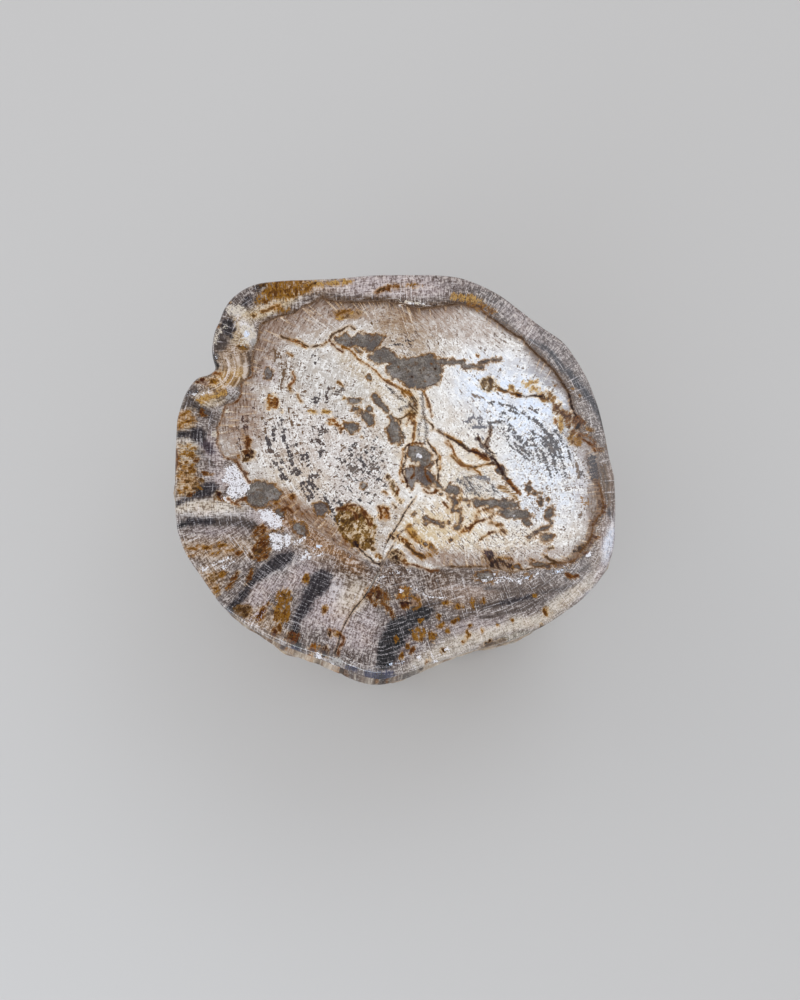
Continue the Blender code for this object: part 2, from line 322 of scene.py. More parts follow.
STAIN = """
bark l 3.4:2.8 597,482 599.5,494 600,506 598,516
bark l 3.0:3.6 596,519 592,529 590,540 585,549 577,556 567,562 557,565
drust l 1.0:.7 490.5,428 489,435 486,442 485,446
drust l .9 478,438 481,442 485,446 490,451 494,456
drust l .8:1.1 440,432.5 450,438 460,444.5 468,450.5 478,453 486,456
drust l 1.2:1.5 486,456 494,459 499,466 503,474
drust l 1.3:.8 503,474 509,481 514,488 519.5,494
drust l .7 469,468 477,466.5 486,464 494,463.5
drust a 1.0 485,557 493,557 502,560 510,566 507,571 498,568 489,565 484,561
ochre o 4,1.6,-35 181,474 191,471 186,488
rust o 3.4,1.4,-40 184,481 196,478 192,494
ochre o 3.6,1.6,30 180,491 198,487
drust o 2.6,1.4,35 252,556 259,546
brown o 4.4,2.2,35 372,549
rust o 3.6,2,30 379,556
ochre a 0.5  266,283 278,281 292,281 306,281 313,284 311,290 303,293 295,296 287,299 279,297 272,299 262,303 255,303 256,297 263,292 268,288
lochre a 0   300,283 312,281 330,282 345,280 352,281 345,284 328,285 312,287
drust o 2.2,1.6,0 314.5,283.5
brown o 4.5,2.6,-30 262,285
ochre l 2.4:1 276,308 282,311 290,309
ochre l 1.4 262,312 270,309 279,305
brown o 5,3.4,0 243,347
brown o 2.2,2.0,0 254,315
rust l 1.0:2.2 376,293 382,290 389,287.5
rust l 2.2:1.2 389,287.5 394,286 399,287
brown l 1.0 377,292 384,288
ochre o 5,1.8,0 413,285
lochre l 3.4 455,297 466,298 478,301
ochre l 2.0 480,304 488,307 494,313
ochre l 2.4:1 470,305 480,309 488,314
rust o 3,1.6,-30 218,326
rust o 2.8,2,-20 228,302
orust l 1.3 208,373 214,373 220,374
redbr o 2.6,2.2,0 197,382 203,379
pink o 4,3,0 206,382
ochre o 4,3,-20 214,381
lochre l 2.5 200,400 212,396 224,392
rust o 4,2,20 203,415
ochre l 2.2:1 178,418 184,414 190,412
rust o 1.6,3.2,20 201,412
ochre l 2:1 178,426 185,422 194,420
orust l 1.8:.8 177,431 183,427
ochre o 4,3,-30 191,455
rust o 3.4,2,-30 195,460
ochre l 1.8:1 176,459 184,453 192,449
rust l 1.3 176,449 177,458 176,468
ochre l 1.6:.6 180,447 189,446 196,449
ochre o 3,1.4,-45 181,463 187,462 184,468 192,466
brown o 3.6,2.2,-20 186,474
brown o 3,2,-20 188,481
brown o 4.6,3.6,-30 195,486
brown o 2.4,2.4,0 202,481
brown o 3,1.8,-40 191,492
rust o 4.4,1.6,15 208,473.5
drust o 3,2,30 218,494
rust o 6,2.2,20 221,498
rust l 1.3 243,471 246,477 249,482
rust l 1.5 236,503 241,500 246,498
orust l 1.2 228,499 234,503 240,506
rust l 1.4 281,511 284,509 288,507.5 292,513
drust o 2,3.2,0 282,528
drust l 1.8 275,530 270,532 265,535
rust o 3.2,2.6,0 292,497
rust o 2.2,2,0 288,503 276,503
rust o 1.5,1.2,0 298,508 302,514 270,497
rust a 0.5  254,528 262,526 268,529 270,536 268,543 270,550 267,558 261,561 255,557 253,549 256,542 252,536
dbrown a 0  254,530 260,529 262,535 260,541 256,540
drust o 2,4,0 264,531
brown o 5,3,-40 258,552
ochre l 1.2 184,549 190,548.5 196,549
ochre o 6,2,0 205,547 222,545
ochre o 4,1.4,-10 190,556 232,550 214,553
rust o 2.6,2.2,0 239,553
rust o 2.6,8,20 249.5,576
rust l 2:1.2 238,574 233,582 227,589
ochre a 0  212,588 219,585 221,590 216,595 211,594
brown o 7,4,-30 213,578
ochre o 4,3,-30 222,574
brown a 0.5  236,606 243,604 251,607 252,613 246,617 239,618 234,613
drust o 6,4,-45 244,612
rust o 3.4,8,22 262,613
rust o 2.6,2.2,0 268.5,604
ochre a 0.4  278,592 284,590 291,593 291,600 286,604 280,603 276,598
brown o 3,4,-20 285,596
ochre a 0.4  274,605 281,603 289,606 290,613 287,621 282,624 276,621 273,613
brown a 0   279,608 285,607 287,613 284,619 279,617
ochre o 2.6,5,15 280.5,626
rust o 3,4.4,20 274,633
redbr o 6,6,0 292.5,638
drust o 3,3,0 291,637
ochre o 3,4.6,20 305.5,579
ochre o 2.2,4,30 325,610
drust o 2.4,3.4,0 330,633
orust o 4,4.6,0 314,648.5
rust o 3,3,0 313,650
orust o 3.2,3,0 309,656
drust o 3.8,4.4,0 325,652
ochre o 3.6,3,0 338,633
rust l 1.3 340,634 344,639 343,643 340,646 339,650 338,655
rust l 1 330,630 335,631
drust a 0   371,592 377,590 382,593 383,600 378,602 372,599
rust a 1    368,590 378,588 386,592 388,600 382,604 374,604 369,598
rust l 2.6:1.0 381,601 386,607 390,612 394,618
orust a 0    399,589 405,587 411,590 410,597 404,600 398,597
lochre o 5,3.4,-20 405,592
rust o 5,3.4,-10 405.5,606
drust l 0.9 401,603 406,602 411,604
pink o 4.4,5,0 415.5,602
ochre l 1.2 411,597 416,598 420,603 418,608 413,609
ochre a 0    411,630 418,627 426,629 427,636 421,641 413,640
ochre o 3.6,4.4,0 432.5,636.5
ochre o 2.4,3,0 438.5,617 447.5,630.5
ochre o 3.2,2.2,-30 421,621 441,625 455,621
ochre o 2.2,3.4,20 407,647 402,655 396,640
rust o 2.2,4.2,20 412,650.5
drust o 2.8,2.6,0 443.5,651
rust o 1.4,3.2,20 427.5,661.5
ochre o 2,3.2,0 468,634.5
rust o 1.4,1.4,0 463.5,641.5
ochre o 4,2.4,0 458,607 446,603
ochre o 2.6,2,0 535,595
ochre o 3.6,3.8,0 546.5,611.5
brown o 1.6,2.2,20 548,612
ochre o 5,2.4,0 571.5,576.5
rust l 1.4 566,574 571,577 577,576
ochre o 2.6,5,0 473,604
ochre o 2.4,3,0 483,601
ochre o 1.6,1.4,0 482,630 470,626 497,625 512,620
dbrown o 2,1.6,0 487,643
drust o 1.4,1.2,0 491,640
brown l 1.1 478,650 490,644 505,640
dbrown o 1.6,1.2,0 541,626
rust l 2.0 603,500 604,505 602,511
rust o 3,2.4,0 597,537
rust o 2,2,0 592,543 594,525
rust o 3,2.4,-30 585.5,553.5
dbrown o 2.4,1.4,-20 580,546 576,551 583,549 573,557
brown o 7,3.4,-40 582,548
olive a 2    340,512 346,508 353,509 362,511 369,517 373,525 374,534 372,543 366,546 359,547 351,543 345,536 341,528 338,520
dolive a 1   349,520 354,517 361,520 365,527 364,536 368,541 362,545 354,540 349,532 347,525
gold a 0 341,512 347,509 352,511 350,517 344,522 340,519
rust a 0.4 344,527 347,533 350,541 347,543 343,536
dbrown o 2,2.6,0 342.5,513.5
rust l 1.3 337,509 342,508 350,510 355,514 357,519
rust l 0.9 345,507 354,505 362,509 368,516 372,524
rust l 0.9 361,511 366,517 370,526
drust l 1.6 391,536 396,538 399,541
orust l 1.3:2.4 396,535 400,539 405,543
ochre l 2.4:2.0 400,539 405,543 411,547 414,552 420,555 427,556 431,556
brown l 1.5:.8 406,545 412,550 417,554 424,556
drust a 0.6  390,553 395,551 401,552 403,557 401,561 395,562 391,559
rust l 1.6 399,557 403,561 406,565
rust l 1 405,564.5 413,565 422,567.5 430,570.5 438,570.5
rust l 1.4:.8 378,507 381,512 381,518
rust l 1.4:.8 384,508 388,513 389,519
rust l 1.2:.7 382,515 386,519
orust o 5,6,0 383,513
lochre l 2.2 408,527 414,534 421,541 430,546
ochre l 1.5:.9 406,529 411,535 417,541
rust l 1.2:1.6 476,520 477,514 480,511 485,510
rust l 1.6:1.2 485,510 489,511 493,514 491,518
rust l 1.3 470,530 473,525 479,521 485,519.5
orust l 1.6 460,533 466,530 472,526
rust o 3.6,2.2,20 500,525
rust o 4,2.6,30 502,531
ochre l 1.4 489,523 493,523.5 498,525
rust l 1.2 488,534 492,532 496,532
ochre l 1 480,540 484,537 488,535
purple a 0.6  484,552 490,551 496,553 495,558 488,558
drust a 0.8  484,558 492,557 499,560 501,565 494,568 487,565
ochre o 7,1.7,0 502,558.5
rust l 1.6 486,556 494,559 503,562 508,567
drust a 0.5  503,562 509,563 513,568 511,572 505,569
rust o 2,1.8,0 518.5,565 512,560
rust o 3.2,1.2,0 533,560
rust o 1.6,1.2,0 543,555 546,551
brown o 2.4,1.6,0 551,548
brown l 1.3 546,557 551,560 556,562
rust o 3.6,2.8,0 557,408
rust a 0.6  553,404 560,404 563,409 560,414 554,412
orust o 2.4,2.6,0 555.5,420.5
rust l 2.2:3 562,412 566,417 568,424
rust a 0.6  565,411 570,413 571,420 569,427 565,424
rust a 0.8  573,416 580,417 583,422 581,427 576,428 572,423
dbrown o 3,3.2,0 578,427.5
lochre o 2.6,8,0 561,424
ochre a 0.6  570,432 578,434 583,438 581,445 574,444 569,438
rust l 1.8 574,431 580,436 585,435 592,439 597,447 601,450 606,448
rust l 1.2 584,440 590,444 595,451
ochre o 1.6,1.4,0 580,395 572,388
ochre o 4,1.6,20 588,429
orust l 1.3 508,480 512,484 516,489 520,494
ochre l 2.2:1.4 501,487 509,492 517,498
orust a 0.2  472,450 478,455 484,459 492,462 490,456 483,452 476,449
rust l 1.2 473,450 479,455 486,459
ochre l 1 468,469 475,468 480,466 488,464 493,464
orust l 0.9 446,443 452,448 454,452
orust l 0.9 457,460 462,466 470,468
ochre l 1.0 451,455 456,461 462,466
ochre o 2,5,20 460,500
rust l 1.1 444,503 446,505 448,507.5
rust o 3.4,2,20 468,528
brown l 1.7:1.5 388,477 391,482 394,488 394,493
olive l 1.9:1.2 392,486 396,492 398,498 401,501.5
rust l .8 397,487 399,490 397,493
brown l 1.1 393,504 396,508
ochre l 1.1 383,492 388,495
olive o 3.4,2.8,0 544,397
ochre a 0.6  540,394 546,392 553,394 556,399 552,403 545,402 540,399
drust o 1.6,1.4,0 548,398
ochre o 2.2,1.2,30 532,383
rust o 1.2,1,0 555,385
ochre o 3.4,2.6,0 518,394.5
olive a 0.8  481,381 487,378 494,380 498,385 495,391 488,391 483,388
dolive o 1.6,1.4,0 484.5,389 490.5,391 490,380.5
ochre l 1.2 498,388 503,391 510,392.5 515,394
dbrown l 0.8 497,387 506,391 514,393.5 525,396.5 534,395.5 542,397
lochre o 3,3,0 512,388
orust a 0.4  270,393 275,396 278,402 276,407 270,409 266,406 267,399
rust o 2.6,3.2,0 270,404
drust o 1.4,1.4,0 270,405
orust l 1.3 293,373 295,378 293,382 290,385
ochre l 1.3 289,387 291,391
orust l 1.6:1.2 330,423 333,421 337,425 342,428
rust l 1.3:.9 336,425 341,429 340,432
orust l .9 329,420 336,419
lochre o 4,1.8,0 313,412 326,412
ochre o 1.4,1.2,0 344,399 282,411
ochre l 1 298,395 299,399 302,402
ochre l 1 338,382 343,386
rust l 1.9 243,433 246,437 249,441
drust o 1.5,2.2,0 248,444
rust l 1.5 248,440 247,448 245,452
drust a 0.5  245,450 250,449 254,453 252,458 247,457
rust o 2.4,2.4,0 239,457.5
rust o 1.5,1.2,0 235,461
rust l 1.5 237,462 240,468 243,471 247,474
brown o 3,1.8,0 246,460
rust o .9,.9,0 362,437
cream o 1.8,2,0 413,404
brown l 1 399,419 401,423
rust l .8 409,465 414,468 414,474 411,478
rust l .8 430,464 425,470 427,477 431,482
ochre l 1.1 402,392 405,396
brown l 1.2 330,338 333,334 340,331 349,326 354,329
rust l 1 329,340 335,347 343,352
lochre o 4,2,-20 341,318 352,312
ochre l 1.1 336,316 344,312 350,310
brown o 4,1.1,0 346,311
tan o 13,4.4,0 349,314
ochre l 1 322,345 327,342
brown l .9 281,337 286,338.5 290,340 298,341 305,345 312,346.5 318,346 324,345
orust l 1.6 290,341 298,342 305,346
ochre l 1.2 288,354 292,356
orust o 1.6,1.2,0 478,356
lochre o 4,2,0 533,382
gold l 1.0:.8 340,345 346,348.5 352,351.5 358,359 368,365 375,370.5
gold l .9:1.2 375,370.5 382,378 389,382 396.5,386.5 405,391 411,395
rust l .5:.8 344,347 352,352 358,359.5 368,365.5 375,371 382,378.5 389,383 396,387 405,391
drust a 0.2 409,394 413.5,396 418,403.5 418.5,409 415,413 411,411 409,405 410.5,399
rust a 0.4 406,389 411,392 414,396 411,399 407,395 404,391
gold o 2.4,1.6,30 414,404
olive a 0 406,411 411,409 417,410 418,414 413,417 407,416 404,414
rust l .9 407,424 409,419 411,415
brown l .8:.5 410,413 405,416 401,418.5 396,419
rust l .7 414,416 411,420 412,424
gold l .9:.7 411,419 415,422 414.5,431 413.5,439 412,445
rust l .6 414,423 413.5,431 412.5,438
rust l 1.0:.9 425,394 428,402 430.5,409 431.5,416
gold l .8 424,392 426,399 428.5,407
brown l .7 424,416.5 428,421 432,425 433.5,428 431,430.5
brown l .7 436,430 443.5,434 451,438 461,443.5 467.5,449
gold l .9 444,433.5 452,437.5 461,442
drust l .8 409,444.5 405,447.5 405,454 406,460 403,467 402.5,472.5 405.5,479 407,486
rust l .6 412,443 417,443 422,444
drust l .8 427.5,440 430,446 435,452.5 438,457.5 436.5,462.5 438,470 438,480
gold l .7 403,449 403,456 401,466 400,474 403,482
gold l .6 432,446 437,452 440,458 440,470
rust l .9 423.5,490 427.5,493 431.5,493 437.5,490
gold l .8:.9 448,441 451,445 452.5,448 455,455 460,461.5 465,465 471,466.5 477.5,471.5 481.5,475
lochre l 2 525,384 535,389 541,393
"""

MINERAL = """
grey a 1.1 338,339 341,336 346,334 349,338 352,341 351,345 346,346 341,344 337,341
grey a 1.1 353,341 355,336.5 361,335 366,336 372,338.5 369,344 365,348 359,346.5 355,344
grey a 1.1 376,336 382,336.5 383,339 378,342 374,349 369,351 366,349 371,342
grey a 1.1 370.5,356 375,351.5 382,348.5 388,350 394,353.5 398,358 399.5,362 394,362.5 388,360.5 383.5,362.5 378,363.5 373.5,361
grey a 1.1 388,368 392,366 396,361 401,359 408,361 414,359 422,357 431,355.5 435,358.5 435,363.5 439.5,366.5 441.5,372 440,379 436.5,383 431,384 424,386.5 418,388 412,387 406.5,384 401,380 396.5,378 391,376 388,372
grey l 2.3:1.9 435,361 446,362 456,362 465,364
grey l 1.7:1.1 465,365 474,367 480,367
grey o 3.4,1.6,40 358,350
grey a 0.2 409.5,446 415,445 422.5,447 427.5,450 431,455 432,462.5 429,467.5 424,466.5 417.5,462.5 411,461 409,455
taupe a -0.2 404,469 412,466 421,467.5 430,470 435,480 430,487.5 424,486.5 417.5,480 411,489 407,486 405,477.5
grey o 3,2.2,40 409,473 428,474
grey o 2.2,4.2,-20 424,477
grey o 2.6,2,0 430,483 410,483
grey a 0.2 445,489 450,485 456,486 460,491 456,495 449,495
grey l 1.6:1 435,482 439,486 443,489
grey o 1.6,1.2,0 436,491 441,494
grey l 1.7:1.1 464,366 474,367 483,367
grey l 1.2:.7 479,364 486,361.5 493,359.5 501,360
grey l 1.1:.7 449,497 453,500 457,502
grey l 1.1 455,502 454,506 453,509
grey l 1.0 452,510 457,511 461,511
grey l 1.0 461,517 460,523 458,528
grey l .8 454,528 460,528.5
grey a 0 472,500 479,498.5 485,501 491,499 498,501.5 505,499.5 512,500.5 518,503 515,508 508,507.5 503,510.5 496,506.5 490,508.5 484,505 477,506
grey o 2.2,1.4,0 465,500
grey o 1.6,1.2,0 469,505
grey a 0.2   499,511 508,508.5 518,509 527,511.5 531,516 524,519 514,518.5 505,516.5
grey o 4,3.2,20 527,522
grey o 1.6,2,0 425,523
grey o 1.5,1.5,0 414,514
grey l .9 425,517 430,520
grey l 1.0 433,521 438,523.5 442,527
grey o 1,1,0 443,522.5 449,523
dgrey o 1.6,1.4,0 451,539
grey o 1.5,1.5,0 426,544
grey l 1 431,547 435,551
slate o 4.6,3.4,30 501,471
slate l 2.8:1.6 501,468 505,477 509,482
dgrey o 2.6,4.6,0 528.5,488
dgrey o 3,1.7,0 535,493.5
dgrey o 1.6,1.2,0 541,493
dgrey o 1.5,1.3,0 540,498
dgrey o 2.4,3.2,0 540.5,503
black o 1.3,1.3,0 548,500
grey o 4.6,6,20 550,514
dgrey o 1.6,1.6,0 551.5,520.5
grey l 1.2:.9 529,538 535,533 543,529 550,526 552,521
grey o 5.4,4,-10 546,537.5
grey o 6,2.8,0 354.5,401
grey o 3,2,0 355,409
grey o 1.2,2,0 357,413
grey a 0.4  361,413 366,412 372,416 373.5,424 369,425 365,421
grey o 3,3,0 370,408.5
grey o 2.6,2.4,0 368.5,377.5
dgrey o 5,1.6,50 383,404
grey l 2.6:2.0 375,397 379,401 383,406 387,411
grey l 1.2 390,415 394,420
grey a 0.8  391,422 397,422 398,427 400,432 400.5,438 398,443 393,441 390,434 388,428
grey a 0  345,424 352,423 358,426 357,432 350,434 345,430
grey a 1  250,484 258,482.5 267,484 276,487 281,492 278,498 270,501 264,506 256,506 250,503 246,497 245,490
grey o 4.4,5.8,0 279.5,513
grey o 8,5,40 300,529
taupe a 0  314,505 320,503 327,505 328,511 323,516 316,517
lgrey o 3.4,3.4,0 363.5,485.5
grey o 9,2.4,8 541,565
grey o 3,2.2,0 516.5,567
grey o 9,5,0 486,577
dgrey o 2.8,1.8,0 529,576
taupe a 0  264,369 269,368 273,371 272,376 268,379 264,378
"""

DASH = """
dgrey l 1.0 422,390 423,402 423.5,413.5 425,422 426.5,431 424.5,443
dgrey l .8 423.5,416.5 419,427 418.5,436 419,445
dgrey l 1.6:1.2 400,409.5 405,406.5 410,405.5
dgrey l .5 386,386 393.5,392 401,398 409,403.5
char l 1.3 281,420 283,428 284,437 286,442 288,448
char l 1.8 289,451 291,457 293,465
char l 1.3 272,428 273,432 274,436
brown o 2.4,2.6,0 266,430
char l 2.0 267,438 268.5,442 270,446
char o 1.5,2.8,0 273.5,440
dbrown o 2.3,2.2,0 272,451.5
brown o 1.4,1.2,0 277,449 281,448
char o 2.6,2.6,0 275,463
char o 2.2,2.2,0 281.5,460
char l 2.5 280,468 282,473 284,478
char o 1.6,1.2,0 285,470
brown l 1.1 290,418 291.5,422 293,426
brown o 1.2,1.6,0 299,425 302,433 295,437
char o 2.2,2.2,0 295,444.5
brown o 1.4,1.6,0 301,443.5
char a 0.5  303,456 308,455 309,460 305,463 302,460
brown o 1.4,1,0 297,453 303,463.5
char o 1.6,1.4,0 307,466
char a 0.5  293,469 299,468 301,473 297,476 293,474
brown o 1.2,1.8,0 299,462
drust o 1.2,1.2,0 253,389 265,412 254,408 243,417 244,421.5 244,427
drust o 1,1.6,0 247,427 240,439 241,448 257,429 266,423
brown o 1,1.2,0 270,419 270,424 262,418 259,437 262,446
char o 2.4,4.6,10 321.5,453
dbrown l 1.2 315,428 318,430.5 322,432 327,431
dbrown l 1.0 322,427 321,432 318,436
dbrown l 1.2 318,440 320,443 323,444
dbrown l 1.2 312,441 315,439 318,437
char a 0.3  312,400 316,395 320,394 319,401 315,405
dbrown l 1.6:1 329,388 326,394 327,400
brown o 1.4,1.2,0 333,388
brown o 1.3,1.3,0 321,385 306,391 307,408 289,411
dgrey l 1.3 336,394 340,391 343,388
brown o 2,2.4,0 284,371
brown l 1.0:.6 282,365 283,374 282,383 281,392
brown l .8 286,362 287,368
brown l .8 274,350 276,356 275,362
brown l .8 280,352 281,358
char l 1.1 303,482 308,490 313,498
char l 1.1 308,480 312,487 317,494
char l 1.1 300,486 305,493 309,500
char l 1.2 309,476 313,483 318,491
char o 2,2.6,30 314.5,477
char l 1.7:1.9 324,498 329,506 333,514
char l 1.7:1 333,514 336,519 338,523
char l 1.2 328,505 333,512 336,518
char l 1 334,500 336,504
char l .9 338,500 341,505
char o 2.2,1.6,-20 357,456 354,446.5
char o 2.6,1.8,10 350,450
brown o 1.6,3,0 342.5,446.5
char l 1.5 360,459 362,462 364,466
char o 2,1.4,30 345,462 352,466 366,452 372,458 361,470 370,474 377,468 383,461
char o 1.5,1.2,20 348,476 356,480 363,478 371,484 378,480 340,470 337,458 374,449 380,474
char o 1.4,1,30 349,490 357,492 344,484 366,492 375,494 384,486 360,500 369,503
dgrey o 5,3,30 353,470 364,486 372,466
char o 2,3,0 351,455
black l 1.3 400,431 402,433 404,436
black l 1 404,440 402,442 400,444.5
dgrey l 1 389,427 388,433 390,438
slate l 1.5 469,427.5 476,426.5 483,427 492,427.5
slate l 1.2 470,418.5 475,417.5 481,418
slate l 1.2 479,421 480,425
slate o 2.2,1.8,0 468,422
slate o 1.3,1.2,0 478,434.5 482,438.5
char l 1.2 490,424 496,422 502,421 507,420.5
char o 1.4,1.2,0 503,428.5
char l 1.2 511,425 511.5,429
char l 1.3 510,430.5 513,433 517,435.5 520,437
char l 1.2 515,437.5 518,440 521,442.5
char l 1.4 515,443 517,445.5 520,448
char l 1.2 521,441 524,444
char l 1.2 526,442 528,445
char l 1.5 520,447 525,451 530,456
char l 1.5 518,450 523,454.5 528,459
char l 1.1 506,436 507.5,438.5 509,441
char l 1.4 534,420 537,422 540,424.5
char l 1.3 540,424.5 543,428 546,433
char a 0.6  541,437 545,434 550,434 555,438 558,444 561,451 561,457 557,456 552,451 547,446 543,441
char l 1.2 543,443 548,450 554,458
char l 1.3 556,431 558,434.5 560,438
char l 1.2 560,438 562,442 564,446
char l 1.1 532,431 534,434.5 536,438
char l 1.1 531,437 534,443 539,450
char l 1.3 540,450 544,457 548,468
char l 1.2 553,459 555,466 557,473
char l 1.1 562,461 564,468 565,475
char l 1 545,462 549,470 552,478
char l .9 534,447 537,453 540,459
char l .9 567,446 569,452 571,459
char l .9 509,443 512,447 515,451
dbrown o 1.2,5,0 581,475
brown l 1.2 576,464 578,470 579,477
brown o 2.2,3.4,0 580,515
brown o 2.4,1,0 593,512
char o 1.1,1,0 496,453 484,430
brown l 1 472,395 477,396 483,398
char l 1.2 509,406 513,408 518,411
char l 1.1 510,411 514,412.5 518,414
char l 1.3 523,413 526,415.5 530,419
char l .9 498,404 503,405
char l .9 489,402 494,402.5
char l .9 500,413 505,413.5
char l .9 530,407 534,410 538,414
ochre l 1.1 582,498 583,502 585.5,504 588,503
brown o 1,1.4,0 572,493 566,487
brown o .9,.9,0 372,323 401,330 390,338 421,341 439,343 485,350 518,366 500,370
char o 4.2,1.0,0 398,344.5
char o 3.2,1.1,0 411,341
char o 1,1.4,0 320,358 315,363 312,356
char l 1.2 462,481 466,486 471,493
char l 1.1 467,480 471,486 475,494
char l 1 458,479 461,484
char l 1.1 464,478 468,477.5 472,477
char l 1 472,485 475,490 479,496
char o 1.6,1,0 481,493 487,491 493,495 480,487
char l 1 492,486 494,490 499,493
brown l 1.4:1.2 492,428 490,433 489,440 487,444.5 484,447
dbrown l 1.4 477,438 481,444 485,449 489,454
dbrown l 1.5:1.8 489,454 493,460 497,465 502,472
olive l 1.9:1.5 505,477 508,480.5 514,487 520,494
brown l .9 478,438 484,445.5 489,447
brown l 1 438,430 442,433 446,435 451,438 456,440 461,443
dbrown l 1.1 461,443 465,446 467,449
brown l 1.1 466,449 474,451 480,453 488,455
dbrown o 1.8,1.6,0 467,448 469,452
brown l .9 466,478 475,476 482,479 488,482
olive l 1.2 478,475 484,479 489,483
slate a 0  474,477 480,474 487,477 489,481 482,482
char l 1 389,388 393,392
char l .8 400,398 405,401.5 411,404
brown l .8 396,394 399,397
char o 1.4,1.2,0 590,470 592,478 588,463
char l 3.2:2.2 592,458 594,467 594,477
dbrown l 2.4:1.4 593,461 596,470 597,482
char o .9,.9,0 404,492 411,497 372,440 380,447 386,455 377,437 365,433
"""

CHALK = """
white o 1.7,1.2,0 476,578 484,580.5 492,579 500,581 508,578 516,580 505,577 488,577.5
white o 1.4,1.1,0 522,577.5 530,575 538,574 496,582.5
bluewhite o 4.2,5.2,20 247.5,333.5
lgrey o 3.2,4.6,0 253.5,342
white o 1.2,2.0,0 216.5,357
lgrey o 6.0,4.4,0 337.5,661
white a 0.5  226,470 233,464 238,463 241,469 246,473 250,480 249,488 246,494 240,498 232,497 226,491 230,484 222,480
white o 5,5,0 240,480
white o 8,2.4,15 229,500
cream a 0  241,325 250,324 256,329 256,336 250,341 246,346 242,344 245,336 241,331
white a 0  243,327 250,326 254,330 253,336 247,339 244,334
cream a 0  226,306 238,304 246,309 243,314 236,316 228,314
cream o 5.4,4,0 267.5,310.5
white a 0.4  259,512 266,510 274,512 281,518 282,526 276,529 270,525 263,521
white a 0.3  270,534 276,532 283,537 282,546 277,550 271,546
white a 0.2  283,535 288,534 290,540 288,547 284,547
white o 4.4,1.6,-20 299,541
white l .7 297,544 301,540 304,538
white l .6 313,552 316,555.5 320,555.5 323,552
bluewhite o 2.6,1.8,0 318,546
white o 1,1,0 317.5,545.5
white o 3,2,20 306,552
white o 2.2,2,0 310,557 303,558
white l .5 212,566 221,561.5 230,557
white l .5 216,569 222.5,566 229,563
white l .5 222,570 228,565.5 234,561
white o 2.4,1.4,-20 203.5,570
white o 1.4,1,0 199,566 196,572 207,566
lilac l .1 277,592 268,600 260,608 254,616 249,622
lilac l .1 280,596 271,604 264,612 258,620 254,626
white o 2.8,2.6,0 318,655.5
white o 3,1.6,-30 333,663
white l .4 411,587 416,589 420,592 427,596
white l .4 427,596 436,598 446,598
white o 1.6,1.4,0 401,590.5
white l .5 483,581 492,578.5 501,577.5
white l .5 501,577.5 505,578 512,581 520,580
white o 1.6,1.3,0 503,578 513,580 519,583 494,575
bluewhite o 2.6,1.2,-10 527,577
white o 1.4,1.1,0 535,577 565,566 568,563.5
bluewhite o 4,1.3,-20 558,571.5
white o 3,2.4,-40 589,555
white o 2.4,2,0 447,649.5
white o 2.2,1.8,20 419,658 426,665 432,657 415,668 436,662
white o 1.8,2.2,0 419.5,456
white l .7:.4 400,305 412,303 425,304
cream l .8 400,301 412,302 424,305
white o 2.6,2.2,0 418.5,456
cream l .7 413,390 416,397
white o 1,1,0 514,516
white o 1.6,1.3,0 229,398
lgrey o 3.2,3.2,0 229,398
lgrey o 2,2,0 236,396 220,410
white o 1.2,1.2,0 236,396 220,410
lgrey o 1.4,1.4,0 237,388
cream o 3.4,3.4,0 215,434
cream o 2.6,2,0 226,411
bluewhite l .6:.4 388,665 395,663 402,662
white o 2,1.4,0 411,570.5 405,565
white l .4 390,573 395,571 399,573
white l .4 370,583 377,579 384,577
cream l 2.4:1 216,340 219,332 226,325
white l .3 188,393 200,394 214,392
"""
